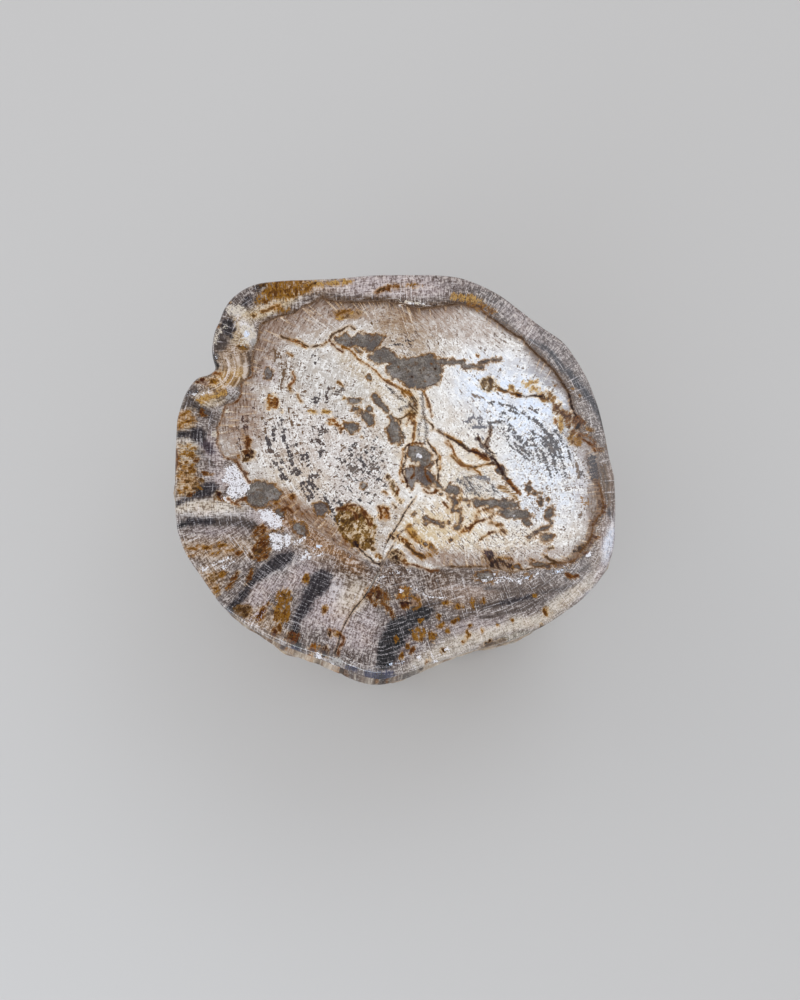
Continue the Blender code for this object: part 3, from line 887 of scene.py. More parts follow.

# The dark blue rows on the rounded front lip paint its reflection over the rim's dark streaks.
STREAK = """
blue a 0 211,350 216,352 218,359 218,367 214.5,370 212.5,361
umber l 1.6:2.0 265,322 283,315 298,311 310,304 322,297.5
umber l 2.0:2.2 322,297.5 350,300 385,299 405,302 424,306.5 436,305 463,302.5 478,305 494,318
umber l 2.4:2.6 494,318 511,330 527,342 545,361 561,380 569,392 573,409
char l 1.6:3.6 530,340 548,350 560,365 570,374 578,384 585,393
char l 3.8:3.0 585,393 590,399 595,405 599,412
char l 2.4:.6 599,412 602,420 604,428
char a 0   183,400 186,391 190,390 196,391 198,394 188,394
dgrey a 1  186,397 194,402 200,405 208,410 213,415 215,420 209,420 203,414 195,410 187,407 181,406 182,402
dgrey l 2:.6 208,414 213,419 210,425 205,430
char a 0.4  177,432 184,432 191,431 190,437 183,438 177,438
char a 1  190,430 197,428 203,431 206,437 204,443 197,442 191,438
purple a 1  201,438 207,440 212,446 214,453 209,454 204,448 200,443
dgrey l 1.6:.8 198,450 206,458 214,466
char l 2.2:2.6 175,504 181,501.5 190,497.5 199,493
char a 1  190,499 198,490 206,484 213,483 218,487 213,492 206,495 198,497
blue l 3.0:2.6 176,526 182,524 190,523
char l 3.6:3.2 188,522.5 198,521.5 208,521.5 218,522
dgrey l 4.4:5 216,522 228,522 240,523 252,525
char l 3:3.6 227,612 233,606 239,600 245,593
char l 3.8:3.2 243,594 248,588 253,581 259,574
char a 1.4  257,573 264,566 274,559 283,553 291,553 291,560 283,567 274,571 264,576 257,580
char a 2   310,582 316,574 324,571 330,575 329,584 322,592 315,597 308,599 305,593
char a 1.6 304,596 311,594 313,600 308,609 303,617 298,619 298,610
char l 4.6:3.6 303,606 298,616 295,626
blue l 4.0:4.4 295,628 294,637 297,645
blue a 2.4  408,614 415,609 424,607 431,610 427,617 420,622 412,624
dgrey l 3.6:2.6 420,607 430,604 441,603
blue a 2.6 392,622 402,618 411,621 410,630 402,637 392,638 387,632
blue a 3   386,634 398,634 401,642 395,650 387,655 381,650 382,641
blue a 2   379,652 390,650 396,655 391,664 383,670 377,667
dgrey l 2.6:3 476,607 488,606 500,605
char l 2.8:2.6 500,604 510,601.5 521,599 533,596
dgrey l 2.4:2 533,595 545,592 556,589.5
dgrey l 2:1 556,589.5 564,588 571,585
dgrey l 1.6 480,617 491,617 502,613.5 513,610.5
dgrey l 1.4:1 513,610.5 524,608 534,604.5 545,601
dgrey l 1.3 486,588 496,588.5 508,589 521,588.5
dgrey l 1.2 446,620 458,619.5 468,616
dgrey l 1.4 466,612.5 475,613
dgrey l 1.4:.8 503,595 518,592.5 534,588 550,581
dgrey l 1.2:.7 566,580 578,573 588,565
char a 0   222,321 230,319 236,324 236,331 231,337 225,338 222,331
dgrey a 1  214,333 220,331 225,338 226,346 220,350 214,347
char a 0  252,288 260,283 266,284 266,288 258,290
char a 0  240,303 246,298 252,297 252,301 244,306
char o 2.2,1.8,0 224,312
dgrey o 1.2,1.2,0 231,319
dgrey l 2.4:1.6 596,462 599,472 601,483
lipblue o 3.0,5.0,25 228,612
lipblue o 4.2,3.2,20 295.5,649.5
brown l 3 603,466 606,480 607,495 606,508
dbrown l 1.6 606,505 609,511 611,518
dgrey l 1.6:1 262,578 270,570
lipblue a 1  366,672 376,674 388,672 394,675 386,681 374,681
lipblue o 5,2,15 352,668
"""

# soft washes of colour over the heartwood and over the rim round it; the bluish white ones are painted sheen and
# painted highlights, the polish's reflection, not the stone's colour
HEART_WASH = (
    # colour, u, v, half width, half height, tilt, strength
    ("pink", 262, 345, 26, 34, 0, 0.85), ("pink", 243, 420, 26, 40, 0, 0.95),
    ("pink", 300, 322, 50, 18, -12, 0.80), ("pink", 380, 312, 70, 13, 0, 0.70),
    ("lilac", 268, 374, 12, 14, 0, 0.6), ("tan", 402, 330, 34, 26, 20, 0.85),
    ("tan", 425, 350, 26, 12, 0, 0.5), ("pink", 460, 325, 50, 20, 18, 0.75),
    ("tan", 300, 522, 46, 26, 38, 0.6), ("wood", 318, 532, 46, 17, 40, 0.95),
    ("wood", 285, 500, 26, 12, 38, 0.7), ("wood", 345, 553, 22, 12, 30, 0.6),
    ("sand", 440, 528, 44, 26, 8, 0.95), ("sand", 472, 508, 36, 18, 10, 0.6),
    ("sand", 300, 478, 36, 20, 30, 0.5), ("sand", 410, 425, 16, 40, 0, 0.6),
    ("sand", 365, 375, 40, 10, 38, 0.6), ("sand", 452, 470, 36, 34, 30, 0.45),
    ("pink", 520, 556, 70, 12, -4, 0.7), ("pink", 440, 557, 40, 9, 5, 0.85),
    ("pink", 585, 480, 14, 60, -6, 0.8), ("pink", 560, 400, 16, 24, 50, 0.7),
    # the two bluish white washes on the heartwood's right half are painted sheen, the reflection of the light above
    # right
    ("pink", 540, 372, 30, 10, 40, 0.7), ("bluewhite", 515, 395, 70, 40, 20, 0.85),
    ("bluewhite", 545, 470, 46, 70, 0, 0.6), ("cream", 380, 400, 60, 40, 40, 0.35),
    ("lilac", 330, 460, 70, 50, 30, 0.3), ("sand", 490, 470, 24, 12, 30, 0.5),
    ("sand", 510, 540, 60, 14, -6, 0.5), ("tan", 385, 530, 12, 30, 30, 0.5),
    ("umber", 594, 492, 9, 52, -4, 0.62), ("umber", 584, 546, 18, 14, -30, 0.5),
    ("umber", 572, 430, 10, 26, -25, 0.5), ("umber", 545, 376, 26, 9, 42, 0.5),
    ("taupe", 325, 378, 56, 36, 20, 0.22), ("umber", 500, 564, 70, 6, -2, 0.4),
)

RIM_WASH = (
    ("tan", 300, 288, 50, 9, 0, 0.8), ("taupe", 240, 300, 20, 16, -40, 0.9),
    ("sand", 270, 308, 30, 8, -18, 0.8), ("lilac", 400, 286, 80, 12, 0, 0.7),
    ("taupe", 470, 292, 40, 10, 18, 0.7), ("lilac", 540, 335, 50, 11, 40, 0.75),
    ("taupe", 590, 400, 12, 60, -22, 0.75), ("sand", 240, 330, 14, 22, 0, 0.7),
    ("tan", 232, 362, 20, 20, 0, 0.85), ("lochre", 225, 380, 26, 10, -14, 0.8),
    ("sand", 205, 400, 22, 8, -8, 0.6), ("lochre", 185, 420, 12, 12, 0, 0.7),
    ("lilac", 215, 448, 14, 18, 0, 0.6), ("cream", 186, 450, 14, 18, 0, 0.65), ("lochre", 186, 480, 13, 18, 0, 0.55),
    ("lilac", 222, 478, 16, 12, 0, 0.6), ("cream", 205, 507, 40, 9, 0, 0.9),
    ("lilac", 235, 530, 40, 7, 0, 0.5), ("tan", 215, 548, 44, 14, 0, 0.85),
    ("lilac", 270, 520, 26, 12, 10, 0.6), ("tan", 205, 582, 22, 16, -40, 0.8),
    ("taupe", 285, 585, 34, 16, -40, 0.8), ("lilac", 300, 575, 30, 12, -40, 0.7),
    ("tan", 262, 620, 26, 14, 35, 0.7), ("lilac", 330, 600, 26, 26, -40, 0.55),
    ("taupe", 320, 630, 34, 18, 20, 0.65), ("tan", 352, 600, 14, 30, 30, 0.7),
    ("agate", 395, 577, 17, 14, 0, 0.95), ("agate", 440, 580, 16, 12, 0, 0.95),
    ("agate", 362, 574, 16, 12, 0, 0.9), ("tan", 320, 555, 40, 12, 25, 0.6),
    ("taupe", 360, 640, 24, 26, 0, 0.8), ("taupe", 430, 625, 40, 22, 0, 0.8),
    ("pink", 466, 596, 40, 12, -4, 0.7), ("taupe", 520, 600, 60, 16, -16, 0.9),
    ("taupe", 560, 570, 36, 12, -34, 0.8), ("tan", 596, 520, 12, 50, 0, 0.75),
    ("taupe", 588, 552, 14, 18, 20, 0.8), ("lilac", 608, 535, 8, 26, 0, 0.7),
    ("cream", 500, 629, 66, 8, -16, 0.85), ("cream", 565, 600, 40, 8, -38, 0.75),
    ("cream", 440, 655, 44, 8, -16, 0.6), ("green", 520, 637, 30, 4, -18, 0.5),
    ("wood", 290, 512, 26, 14, 38, 0.8), ("wood", 318, 540, 34, 13, 40, 0.9),
    ("wood", 345, 560, 22, 12, 30, 0.8), ("umber", 342, 570, 26, 8, 30, 0.7),
    ("umber", 245, 530, 14, 10, 0, 0.5), ("plum", 300, 560, 30, 10, 30, 0.5),
    ("umber", 592, 470, 10, 50, -8, 0.8), ("umber", 606, 505, 12, 44, 0, 0.55),
    ("umber", 520, 592, 60, 10, -14, 0.35), ("taupe", 250, 590, 40, 20, -40, 0.5), ("umber", 566, 385, 10, 30, -35, 0.5),
    ("taupe", 520, 315, 50, 10, 38, 0.5), ("taupe", 556, 345, 30, 12, 48, 0.7),
    ("umber", 470, 574, 60, 5, -2, 0.5), ("white", 330, 595, 16, 20, -30, 0.35),
    ("white", 280, 565, 20, 8, -30, 0.35), ("plum", 215, 535, 40, 10, 0, 0.35),
    ("white", 215, 515, 36, 5, 0, 0.4), ("umber", 440, 600, 50, 10, 0, 0.4),
    ("lilac", 340, 628, 18, 26, -20, 0.6), ("lilac", 365, 632, 12, 24, 10, 0.6),
    ("lilac", 262, 592, 26, 9, -40, 0.6), ("lilac", 318, 612, 14, 22, 30, 0.6),
    ("plum", 398, 636, 24, 36, 32, 0.7), ("plum", 316, 590, 14, 34, 30, 0.6),
    ("cream", 352, 598, 14, 20, 30, 0.5), ("lilac", 470, 625, 40, 10, -8, 0.4),
    # the bluish white washes here are painted highlights along the rounded right edge and lower right edge
    ("bluewhite", 610, 540, 5, 28, 12, 0.62), ("lilac", 603, 572, 7, 14, 30, 0.4),
    ("bluewhite", 594, 590, 12, 5, -42, 0.45), ("taupe", 370, 660, 40, 10, 10, 0.5),
    ("pink", 608, 488, 5, 24, 0, 0.55), ("white", 247, 331, 6, 13, -18, 0.85),
    ("white", 234, 311, 9, 4, 35, 0.6),
)

# where the fine dark flecks of the wood's cells crowd
FLECKS = (
    # u, v, half width, half height, tilt, strength
    (362, 468, 34, 34, 30, 1.0), (300, 452, 40, 44, 20, 0.55),
    (330, 410, 40, 26, 30, 0.35), (545, 450, 34, 34, 50, 0.85),
    (490, 425, 34, 16, 10, 0.55), (480, 490, 44, 18, 20, 0.7),
    (540, 505, 22, 30, 0, 0.75), (285, 375, 30, 30, 30, 0.55),
    (335, 500, 34, 24, 40, 0.7), (420, 520, 60, 20, 0, 0.25),
    (575, 470, 16, 50, 0, 0.55), (500, 545, 70, 16, 0, 0.5),
    (520, 400, 50, 20, 20, 0.15), (400, 345, 50, 12, 0, 0.4),
    (360, 430, 30, 14, 30, 0.6), (250, 440, 30, 50, 0, 0.35),
    (430, 340, 60, 14, 0, 0.3), (280, 430, 20, 50, 0, 0.6),
    (530, 535, 40, 14, 0, 0.6),
)

# thin lines: the heartwood's edge, cracks, and the fissure
VEIN = """
dbrown o 1.3,0.9,20 412.5,377 435,369
rust o 1.2,0.8,0 431.5,364 398,367 424.5,381.5
dbrown o 1.0,0.7,0 417,362.5 408,371 428,375 420,370
umber l 0.3 265,322 275,318 283,315 292,314 298,311 303,307 310,304 318,299 322,297.5
umber l 0.5 322,297.5 333,301 350,302 366,302 385,301 395,303 405,304 410,307 424,308.5
umber l 0.4 424,308.5 436,307 452,304.5 463,304.5 472,307 478,306.5 484,313 494,320
umber l 0.8:1.2 494,320 500,324 511,332 521,338 525,342 534,352 545,362 554,371 561,381 568,392
dbrown l 1.2:.8 561,381 568,392 571,403 573,410 578,418
rust l .3 252,367 252,376 243,381 241,385 241,395 238,400 232,404 226,405 224,412 222,417 219,425 217,428 218,435 217,443 219,447 221,452 226,458 236,460 237,463
edgeb l .2 265,322 259.5,326 258,340 253,352 252,367
edgeb l .4 599,484 601,492 603,505 602,512 597,519 593,525 592,535 588,543 580,552 575,560 565,563 556,562.6
brown l .7 447,565.6 456,567 465.7,567 476,566.5 487,567
brown l .6 511,572 522,570 534,568 545,565 556,562.6
crack l 0.50 416,497 410,505 405,512 401,520 396,528 391,535 387,542
crack l 0.40 408,526 400,533 397,538 393,545 390,551 387,556 383,562 379,573
lcrack l 1.1:.8 379,573 374,580 371,586 367,592
crack l 0.60 374,582 366,594 362,600 357,605 352,612 347,620 343,628 341,632 339,640 337,647 334,655
dbrown l 0.9 354,541 360,549 366,555 370,558 375,563 380,564
brown l .5 399,558 402,561 405,565
"""

# the fissure that is a real groove in the face
FISSURE = """
416,497 410,505 405,512 401,520 396,528 391,535 387,542 384,550 382,560
378,572 374,581 370,588 366,594 362,600 357,605 352,612 347,620 343,628
340,636 338,645 335,655
"""

COLOURS.update({"crack": (96, 88, 84), "lcrack": (176, 172, 168)})

LAYERS = ("streak", "stain", "mineral", "chalk", "dash", "vein")


def points(text):
    return [tuple(float(c) for c in p.split(",")) for p in text.split()]


def markings():
    """Every marking by layer; thin stain lines go with the veins."""
    found = {name: [] for name in LAYERS}
    for name, text in (("streak", STREAK), ("stain", STAIN),
                       ("mineral", MINERAL), ("chalk", CHALK),
                       ("dash", DASH), ("vein", VEIN)):
        for row in text.strip().splitlines():
            colour, kind, size, places = row.split(None, 3)
            spots = points(places)
            if kind == "l":
                w = [float(c) for c in size.split(":")]
                w = (w[0], w[-1])
                layer = name
                if name == "stain" and max(w) <= 1.5:
                    layer = "vein"
                path = course(spots, 0.55 if name != "vein" else 0.35)
                found[layer].append((colour, "l", w, path))
            elif kind == "o":
                rx, ry, tilt = (float(c) for c in size.split(","))
                for spot in spots:
                    found[name].append((colour, "o",
                                        (rx, ry, math.radians(tilt)), [spot]))
            else:
                found[name].append((colour, "a", (float(size),), spots))
    return found


def course(pts, stray, step=1.7):
    """A smooth path through points, every step, straying a little."""
    p = np.array(pts, float)
    out = []
    for i in range(len(p) - 1):
        a = p[max(i - 1, 0)]
        b, c = p[i], p[i + 1]
        d = p[min(i + 2, len(p) - 1)]
        n = max(1, int(round(np.hypot(*(c - b)) / step)))
        for k in range(n):
            t = k / n
            out.append(0.5 * ((2 * b) + (c - a) * t
                              + (2 * a - 5 * b + 4 * c - d) * t * t
                              + (3 * b - a - 3 * c + d) * t ** 3))
    out.append(p[-1])
    out = np.array(out)
    seed = int(p[0, 0] * 7 + p[0, 1] * 13) % 997
    dx = fractal(out[:, 0] / 5.0, out[:, 1] / 5.0, 0.37, seed, 2)
    dy = fractal(out[:, 0] / 5.0, out[:, 1] / 5.0, 9.71, seed + 5, 2)
    return out + stray * 1.6 * np.stack((dx, dy), 1)


def near_line(x, y, path, widths):
    seg = np.hypot(np.diff(path[:, 0]), np.diff(path[:, 1]))
    run = np.concatenate(([0.0], np.cumsum(seg)))
    total = max(run[-1], 1e-6)
    best = np.full(len(x), -99.0)
    for i in range(len(path) - 1):
        ax, ay = path[i]
        dx, dy = path[i + 1] - path[i]
        t = np.clip(((x - ax) * dx + (y - ay) * dy)
                    / max(dx * dx + dy * dy, 1e-9), 0.0, 1.0)
        d = np.hypot(x - ax - t * dx, y - ay - t * dy)
        w = widths[0] + (widths[1] - widths[0]) * (run[i] + t * seg[i]) / total
        best = np.maximum(best, w - d)
    return best


def in_area(x, y, corners):
    """Distance inside (positive) or outside (negative) a closed outline."""
    p = np.array(corners, float)
    q = np.roll(p, -1, 0)
    near = np.full(len(x), 1e9)
    inside = np.zeros(len(x), bool)
    for (ax, ay), (bx, by) in zip(p, q):
        dx, dy = bx - ax, by - ay
        t = np.clip(((x - ax) * dx + (y - ay) * dy)
                    / max(dx * dx + dy * dy, 1e-9), 0.0, 1.0)
        near = np.minimum(near, np.hypot(x - ax - t * dx, y - ay - t * dy))
        cross = ((ay > y) != (by > y))
        with np.errstate(divide="ignore", invalid="ignore"):
            at = ax + (y - ay) * dx / (dy if abs(dy) > 1e-9 else 1e-9)
        inside ^= cross & (x < at)
    return np.where(inside, near, -near)


def in_spot(x, y, size, spot):
    rx, ry, tilt = size
    dx, dy = x - spot[0], y - spot[1]
    a = dx * math.cos(tilt) + dy * math.sin(tilt)
    b = -dx * math.sin(tilt) + dy * math.cos(tilt)
    q = np.hypot(a / rx, b / ry)
    return (1.0 - q) * min(rx, ry)


FAR = -9.0
SOLID = {"stain": 0.9, "chalk": 1.3}       # wide patches of a layer count as this deep


def lay_down(rows, u, v, limit=9.0):
    """How deep each point is inside a layer's markings, and their colour."""
    depth = np.full(len(u), FAR)
    colour = np.tile(stone_tone((120, 110, 104)), (len(u), 1))
    wu = u + (2.4 * fractal(u / 9.0, v / 9.0, 0.5, 11, 2)
              + 1.5 * fractal(u / 3.4, v / 3.4, 2.5, 13, 2))
    wv = v + (2.4 * fractal(u / 9.0, v / 9.0, 7.5, 23, 2)
              + 1.5 * fractal(u / 3.4, v / 3.4, 4.5, 17, 2))
    for name, kind, size, spots in rows:
        p = np.array(spots, float)
        reach = 10.0 + (max(size[:2]) if kind != "a" else size[0])
        idx = np.nonzero((u > p[:, 0].min() - reach)
                         & (u < p[:, 0].max() + reach)
                         & (v > p[:, 1].min() - reach)
                         & (v < p[:, 1].max() + reach))[0]
        if not len(idx):
            continue
        if kind == "l":
            d = near_line(u[idx], v[idx], p, size)
        elif kind == "o":
            small = min(1.0, 0.25 + min(size[:2]) / 5.0)
            d = in_spot(u[idx] + small * (wu - u)[idx],
                        v[idx] + small * (wv - v)[idx], size, spots[0])
        else:
            d = in_area(wu[idx], wv[idx], p) + size[0]
        if kind == "o" and min(size[:2]) < 3.5:
            d = np.minimum(1.5 * d, 2.6)     # small spots stay whole
        else:
            d = np.minimum(d, limit)         # wide patches are broken up
        win = d > depth[idx]
        depth[idx[win]] = d[win]
        colour[idx[win]] = stone_tone(COLOURS[name])
    return np.clip(depth, FAR, 9.0), colour


def wash(rows, base, u, v):
    colour = np.tile(stone_tone(base), (len(u), 1))
    wu = u + 7.0 * fractal(u / 22.0, v / 22.0, 3.5, 31, 3)
    wv = v + 7.0 * fractal(u / 22.0, v / 22.0, 5.5, 37, 3)
    for name, cu, cv, ru, rv, tilt, strength in rows:
        t = math.radians(tilt)
        dx, dy = wu - cu, wv - cv
        a = (dx * math.cos(t) + dy * math.sin(t)) / ru
        b = (-dx * math.sin(t) + dy * math.cos(t)) / rv
        w = strength * (1.0 - smooth(0.45, 1.35, np.hypot(a, b)))
        colour += (stone_tone(COLOURS[name]) - colour) * w[:, None]
    return colour


def crowd(rows, u, v):
    total = np.zeros(len(u))
    for cu, cv, ru, rv, tilt, strength in rows:
        t = math.radians(tilt)
        dx, dy = u - cu, v - cv
        a = (dx * math.cos(t) + dy * math.sin(t)) / ru
        b = (-dx * math.sin(t) + dy * math.cos(t)) / rv
        total = np.maximum(total,
                           strength * (1.0 - smooth(0.3, 1.4, np.hypot(a, b))))
    return total


# ------------------------------------------------------------ the side's form
def side_relief(grain, z):
    """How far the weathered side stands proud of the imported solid, metres."""
    r = 0.165
    x, y = r * np.cos(grain), r * np.sin(grain)
    # slow swell, then long ribs of the wood's grain, then fibres
    swell = 0.0020 * fractal(x * 16, y * 16, z * 8, 3, 2)
    wx = x + 0.006 * fractal(x * 12, y * 12, z * 9, 41, 2)
    wy = y + 0.006 * fractal(x * 12, y * 12, z * 9, 43, 2)
    ribs = 1.0 - 2.0 * np.abs(fractal(wx * 52, wy * 52, z * 7.0, 5, 2))
    patch = smooth(-0.25, 0.35, fractal(x * 14, y * 14, z * 10, 61, 2))
    fibre = 1.0 - 2.0 * np.abs(noise(wx * 120, wy * 120, z * 13.0, 7))
    fine = fractal(wx * 230, wy * 230, z * 28.0, 9, 2)
    relief = (swell + (0.35 + 0.65 * patch)
              * (0.0021 * (ribs - 0.45) + 0.00085 * (fibre - 0.45))
              + 0.00035 * fine)
    # knobbly mineral crust where the bark was
    crust = smooth(0.02, 0.35, fractal(x * 20, y * 20, z * 13, 71, 2))
    knobs = np.abs(fractal(wx * 75, wy * 75, z * 48, 73, 3))
    relief = relief + crust * 0.0038 * (0.30 - knobs)
    # upright splits
    split = fractal(wx * 26, wy * 26, z * 1.1, 81, 2)
    open_ = smooth(0.02, 0.25, fractal(x * 17, y * 17, z * 9, 83, 2))
    relief = relief - 0.0040 * open_ * np.exp(-(split / 0.030) ** 2)
    # cross breaks, where short lengths of the grain came away
    level = z + 0.030 * fractal(x * 11, y * 11, z * 5, 91, 3)
    cell = fractal(x * 24, y * 24, np.floor(level / 0.083) * 3.7, 93, 2)
    step = (level / 0.083) % 1.0
    soft = smooth(0.0, 0.05, step) * (1.0 - smooth(0.55, 1.0, step))
    relief = relief + 0.0019 * smooth(0.10, 0.34, cell) * soft
    return relief


def blur(grid, rows, cols):
    out = grid.copy()
    for _ in range(2):
        total = np.zeros_like(out)
        for k in range(-cols, cols + 1):
            total += np.roll(out, k, 1)
        out = total / (2 * cols + 1)
        padded = np.concatenate((np.repeat(out[:1], rows, 0), out,
                                 np.repeat(out[-1:], rows, 0)))
        run = np.cumsum(np.concatenate((np.zeros((1, out.shape[1])), padded)),
                        0)
        n = 2 * rows + 1
        out = (run[n:] - run[:-n]) / n
    return out


def set_float(mesh, name, values):
    a = mesh.attributes.new(name, "FLOAT", "POINT")
    a.data.foreach_set("value", np.ascontiguousarray(values, np.float32))


def set_vector(mesh, name, values):
    a = mesh.attributes.new(name, "FLOAT_VECTOR", "POINT")
    a.data.foreach_set("vector",
                       np.ascontiguousarray(values, np.float32).ravel())


def set_colour(mesh, name, values):
    a = mesh.attributes.new(name, "FLOAT_COLOR", "POINT")
    full = np.concatenate((values, np.ones((len(values), 1))), 1)
    a.data.foreach_set("color", np.ascontiguousarray(full, np.float32).ravel())


def columns():
    """Angles round the trunk, evenly spaced along the face's edge."""
    th = np.linspace(-math.pi, math.pi, 8193)
    r = OUTLINE(th)
    x, y = r * np.cos(th), r * np.sin(th)
    run = np.concatenate(([0.0], np.cumsum(np.hypot(np.diff(x), np.diff(y)))))
    return np.interp(np.arange(COLUMNS) / COLUMNS * run[-1], run, th)


def face_grid(ring_u, ring_v, found):
    """Points over the face in view pixels: close together near a marking's
    edge and along every thin line, wider apart elsewhere."""
    h = GRID
    rows = int((ring_v.max() - ring_v.min()) / (h * 0.866)) + 2
    cols = int((ring_u.max() - ring_u.min()) / h) + 3
    j, i = np.meshgrid(np.arange(rows), np.arange(cols), indexing="ij")
    u = ring_u.min() + (i + 0.5 * (j % 2)) * h
    v = ring_v.min() + j * h * 0.866
    # which of three interleaved coarser grids a point belongs to
    axial = i - (j // 2)
    third = (axial - j) % 3
    quarter = (axial % 2 == 0) & (j % 2 == 0)
    u, v, third, quarter = (a.ravel() for a in (u, v, third, quarter))
    inset = in_area(u, v, list(zip(ring_u, ring_v)))
    ok = inset > 0.75 * h
    u, v, third, quarter, inset = (a[ok] for a in (u, v, third, quarter, inset))

    edge = np.full(len(u), FAR)
    for name in LAYERS:
        d, _ = lay_down(found[name], u, v)
        edge = np.maximum(edge, np.where(d > 3.0, 3.0 - d, d))
    fine = edge > -1.9
    middle = (edge > -4.5) & (third == 0)
    close = (inset < 4.0) & (third == 0)
    keep = fine | middle | close | quarter
    u, v = u[keep], v[keep]

    lines = []
    for name in LAYERS:
        for colour, kind, size, path in found[name]:
            if kind == "l" and max(size) <= 2.0:
                lines.append(path)
    return u, v, lines


def within(px, py, ring_x, ring_y):
    """Which points lie inside a closed ring."""
    inside = np.zeros(len(px), bool)
    x0, y0 = ring_x, ring_y
    x1, y1 = np.roll(ring_x, -1), np.roll(ring_y, -1)
    for a, b, c, d in zip(x0, y0, x1, y1):
        if b == d:
            continue
        hit = (py > min(b, d)) & (py <= max(b, d))
        hit &= px < a + (py - b) * (c - a) / (d - b)
        inside ^= hit
    return inside


def thin_out(u, v, lu, lv, clear):
    """Drop grid points that crowd the lines' own points."""
    cell = clear
    table = {}
    for k, key in enumerate(zip((lu // cell).astype(int).tolist(),
                                (lv // cell).astype(int).tolist())):
        table.setdefault(key, []).append(k)
    keep = np.ones(len(u), bool)
    cu, cv = (u // cell).astype(int), (v // cell).astype(int)
    for n in range(len(u)):
        for a in (-1, 0, 1):
            for b in (-1, 0, 1):
                for k in table.get((cu[n] + a, cv[n] + b), ()):
                    if ((u[n] - lu[k]) ** 2 + (v[n] - lv[k]) ** 2
                            < clear * clear):
                        keep[n] = False
    return keep


def build_stone():
    found = markings()
    theta = columns()
    hx, hy = face_point(*HEART)

    # --- rings from the flat face's rim, over the rounded edge, to the base
    front = np.exp(-(wrap(theta - math.radians(-100.0)) / 0.62) ** 2)
    front2 = np.exp(-(wrap(theta - math.radians(-128.0)) / 0.25) ** 2)
    ragged = fractal(3.0 * np.cos(theta), 3.0 * np.sin(theta), 0.3, 7, 4)
    chips = fractal(11 * np.cos(theta), 11 * np.sin(theta), 0.7, 19, 3)
    across = 0.0021 + 0.0042 * front + 0.0010 * front2 + 0.0006 * ragged
    tall = 0.0034 + 0.0044 * front + 0.0016 * ragged + 0.0010 * chips
    tall = np.maximum(tall, 0.0018)
    rings = []
    for k in range(BEVEL_ROWS + 1):
        a = 0.5 * math.pi * (1.0 - k / BEVEL_ROWS)
        z = HEIGHT - tall * (1.0 - math.sin(a))
        rings.append((z, across * (1.0 - math.cos(a))))
    foot = 0.0035 + 0.0015 * fractal(5 * np.cos(theta), 5 * np.sin(theta),
                                     4.1, 29, 3)
    for k in range(1, SIDE_ROWS + 1):
        t = k / SIDE_ROWS
        f = 0.72 * t + 0.28 * t * t
        rings.append((HEIGHT - tall - (HEIGHT - tall - foot) * f,
                      0.0 * across))
    rings.append((foot * 0.35, 0.35 * foot))
    rings.append((0.0 * foot, foot))
    z = np.array([r[0] for r in rings])
    inset = np.array([r[1] for r in rings])
    th = np.broadcast_to(theta, z.shape)
    radius = trunk_radius(th, z) - inset
    depth = HEIGHT - z
    grain = th + TWIST * depth / HEIGHT
    below = depth - tall
    fade = smooth(0.0002, 0.0120, below)
    facing = np.exp(-(wrap(th - math.radians(-100.0)) / 0.75) ** 2)
    fade = fade * (1.0 - 0.65 * facing * (1.0 - smooth(0.02, 0.09, below)))
    relief = side_relief(grain, z)
    standing = fade * smooth(0.0, 0.006, z)
    move = standing * relief - 0.0007 * facing * standing
    radius = radius + move
    ax, ay = heart_line(z)
    rx = hx + ax + radius * np.cos(th)
    ry = hy + ay + radius * np.sin(th)
    recess = relief - blur(relief, 3, 3)
    broad = relief - blur(relief, 9, 9)

    # --- the flat face inside the first ring
    ring_u, ring_v = face_pixel(rx[0], ry[0])
    u, v, lines = face_grid(ring_u, ring_v, found)
    lu = np.concatenate([p[:, 0] for p in lines])
    lv = np.concatenate([p[:, 1] for p in lines])
    inner = in_area(lu, lv, list(zip(ring_u, ring_v))) > 0.9
    lu, lv = lu[inner], lv[inner]
    fissure = course(points(FISSURE), 0.35, 1.3)
    way = np.gradient(fissure, axis=0)
    way /= np.hypot(way[:, 0], way[:, 1])[:, None]
    off = np.stack((-way[:, 1], way[:, 0]), 1) * 0.75
    fis = np.concatenate((fissure, fissure + off, fissure - off))
    # own points of lines that lie too close to an earlier one are dropped
    keep = thin_out(lu, lv, fis[:, 0], fis[:, 1], 0.9)
    lu, lv = lu[keep], lv[keep]
    chosen, table = [], {}
    cell = 0.9
    for k in range(len(lu)):
        cu, cv = int(lu[k] // cell), int(lv[k] // cell)
        near = False
        for a in (-1, 0, 1):
            for b in (-1, 0, 1):
                for m in table.get((cu + a, cv + b), ()):
                    if (lu[k] - lu[m]) ** 2 + (lv[k] - lv[m]) ** 2 < cell ** 2:
                        near = True
        if not near:
            table.setdefault((cu, cv), []).append(k)
            chosen.append(k)
    lu, lv = lu[chosen], lv[chosen]
    lu = np.concatenate((fis[:, 0], lu))
    lv = np.concatenate((fis[:, 1], lv))
    keep = thin_out(u, v, lu, lv, 0.95)
    u, v = u[keep], v[keep]
    fu = np.concatenate((lu, u))
    fv = np.concatenate((lv, v))
    n_in = len(fu)
    spots = [Vector(p) for p in zip(np.concatenate((fu, ring_u)).tolist(),
                                    np.concatenate((fv, ring_v)).tolist())]
    loop = [(n_in + k, n_in + (k + 1) % COLUMNS) for k in range(COLUMNS)]
    cdt = delaunay_2d_cdt(spots, loop, [], 1, 1e-6, True)
    if len(cdt[0]) != len(spots):
        raise RuntimeError("the face's points were merged: %d of %d"
                           % (len(cdt[0]), len(spots)))
    source = np.array([o[0] for o in cdt[3]])
    face_tris = source[np.array([f for f in cdt[2]])]
    # the triangles that would close the outline's hollows are left out
    all_u, all_v = np.concatenate((fu, ring_u)), np.concatenate((fv, ring_v))
    face_tris = face_tris[within(all_u[face_tris].mean(1),
                                 all_v[face_tris].mean(1), ring_u, ring_v)]

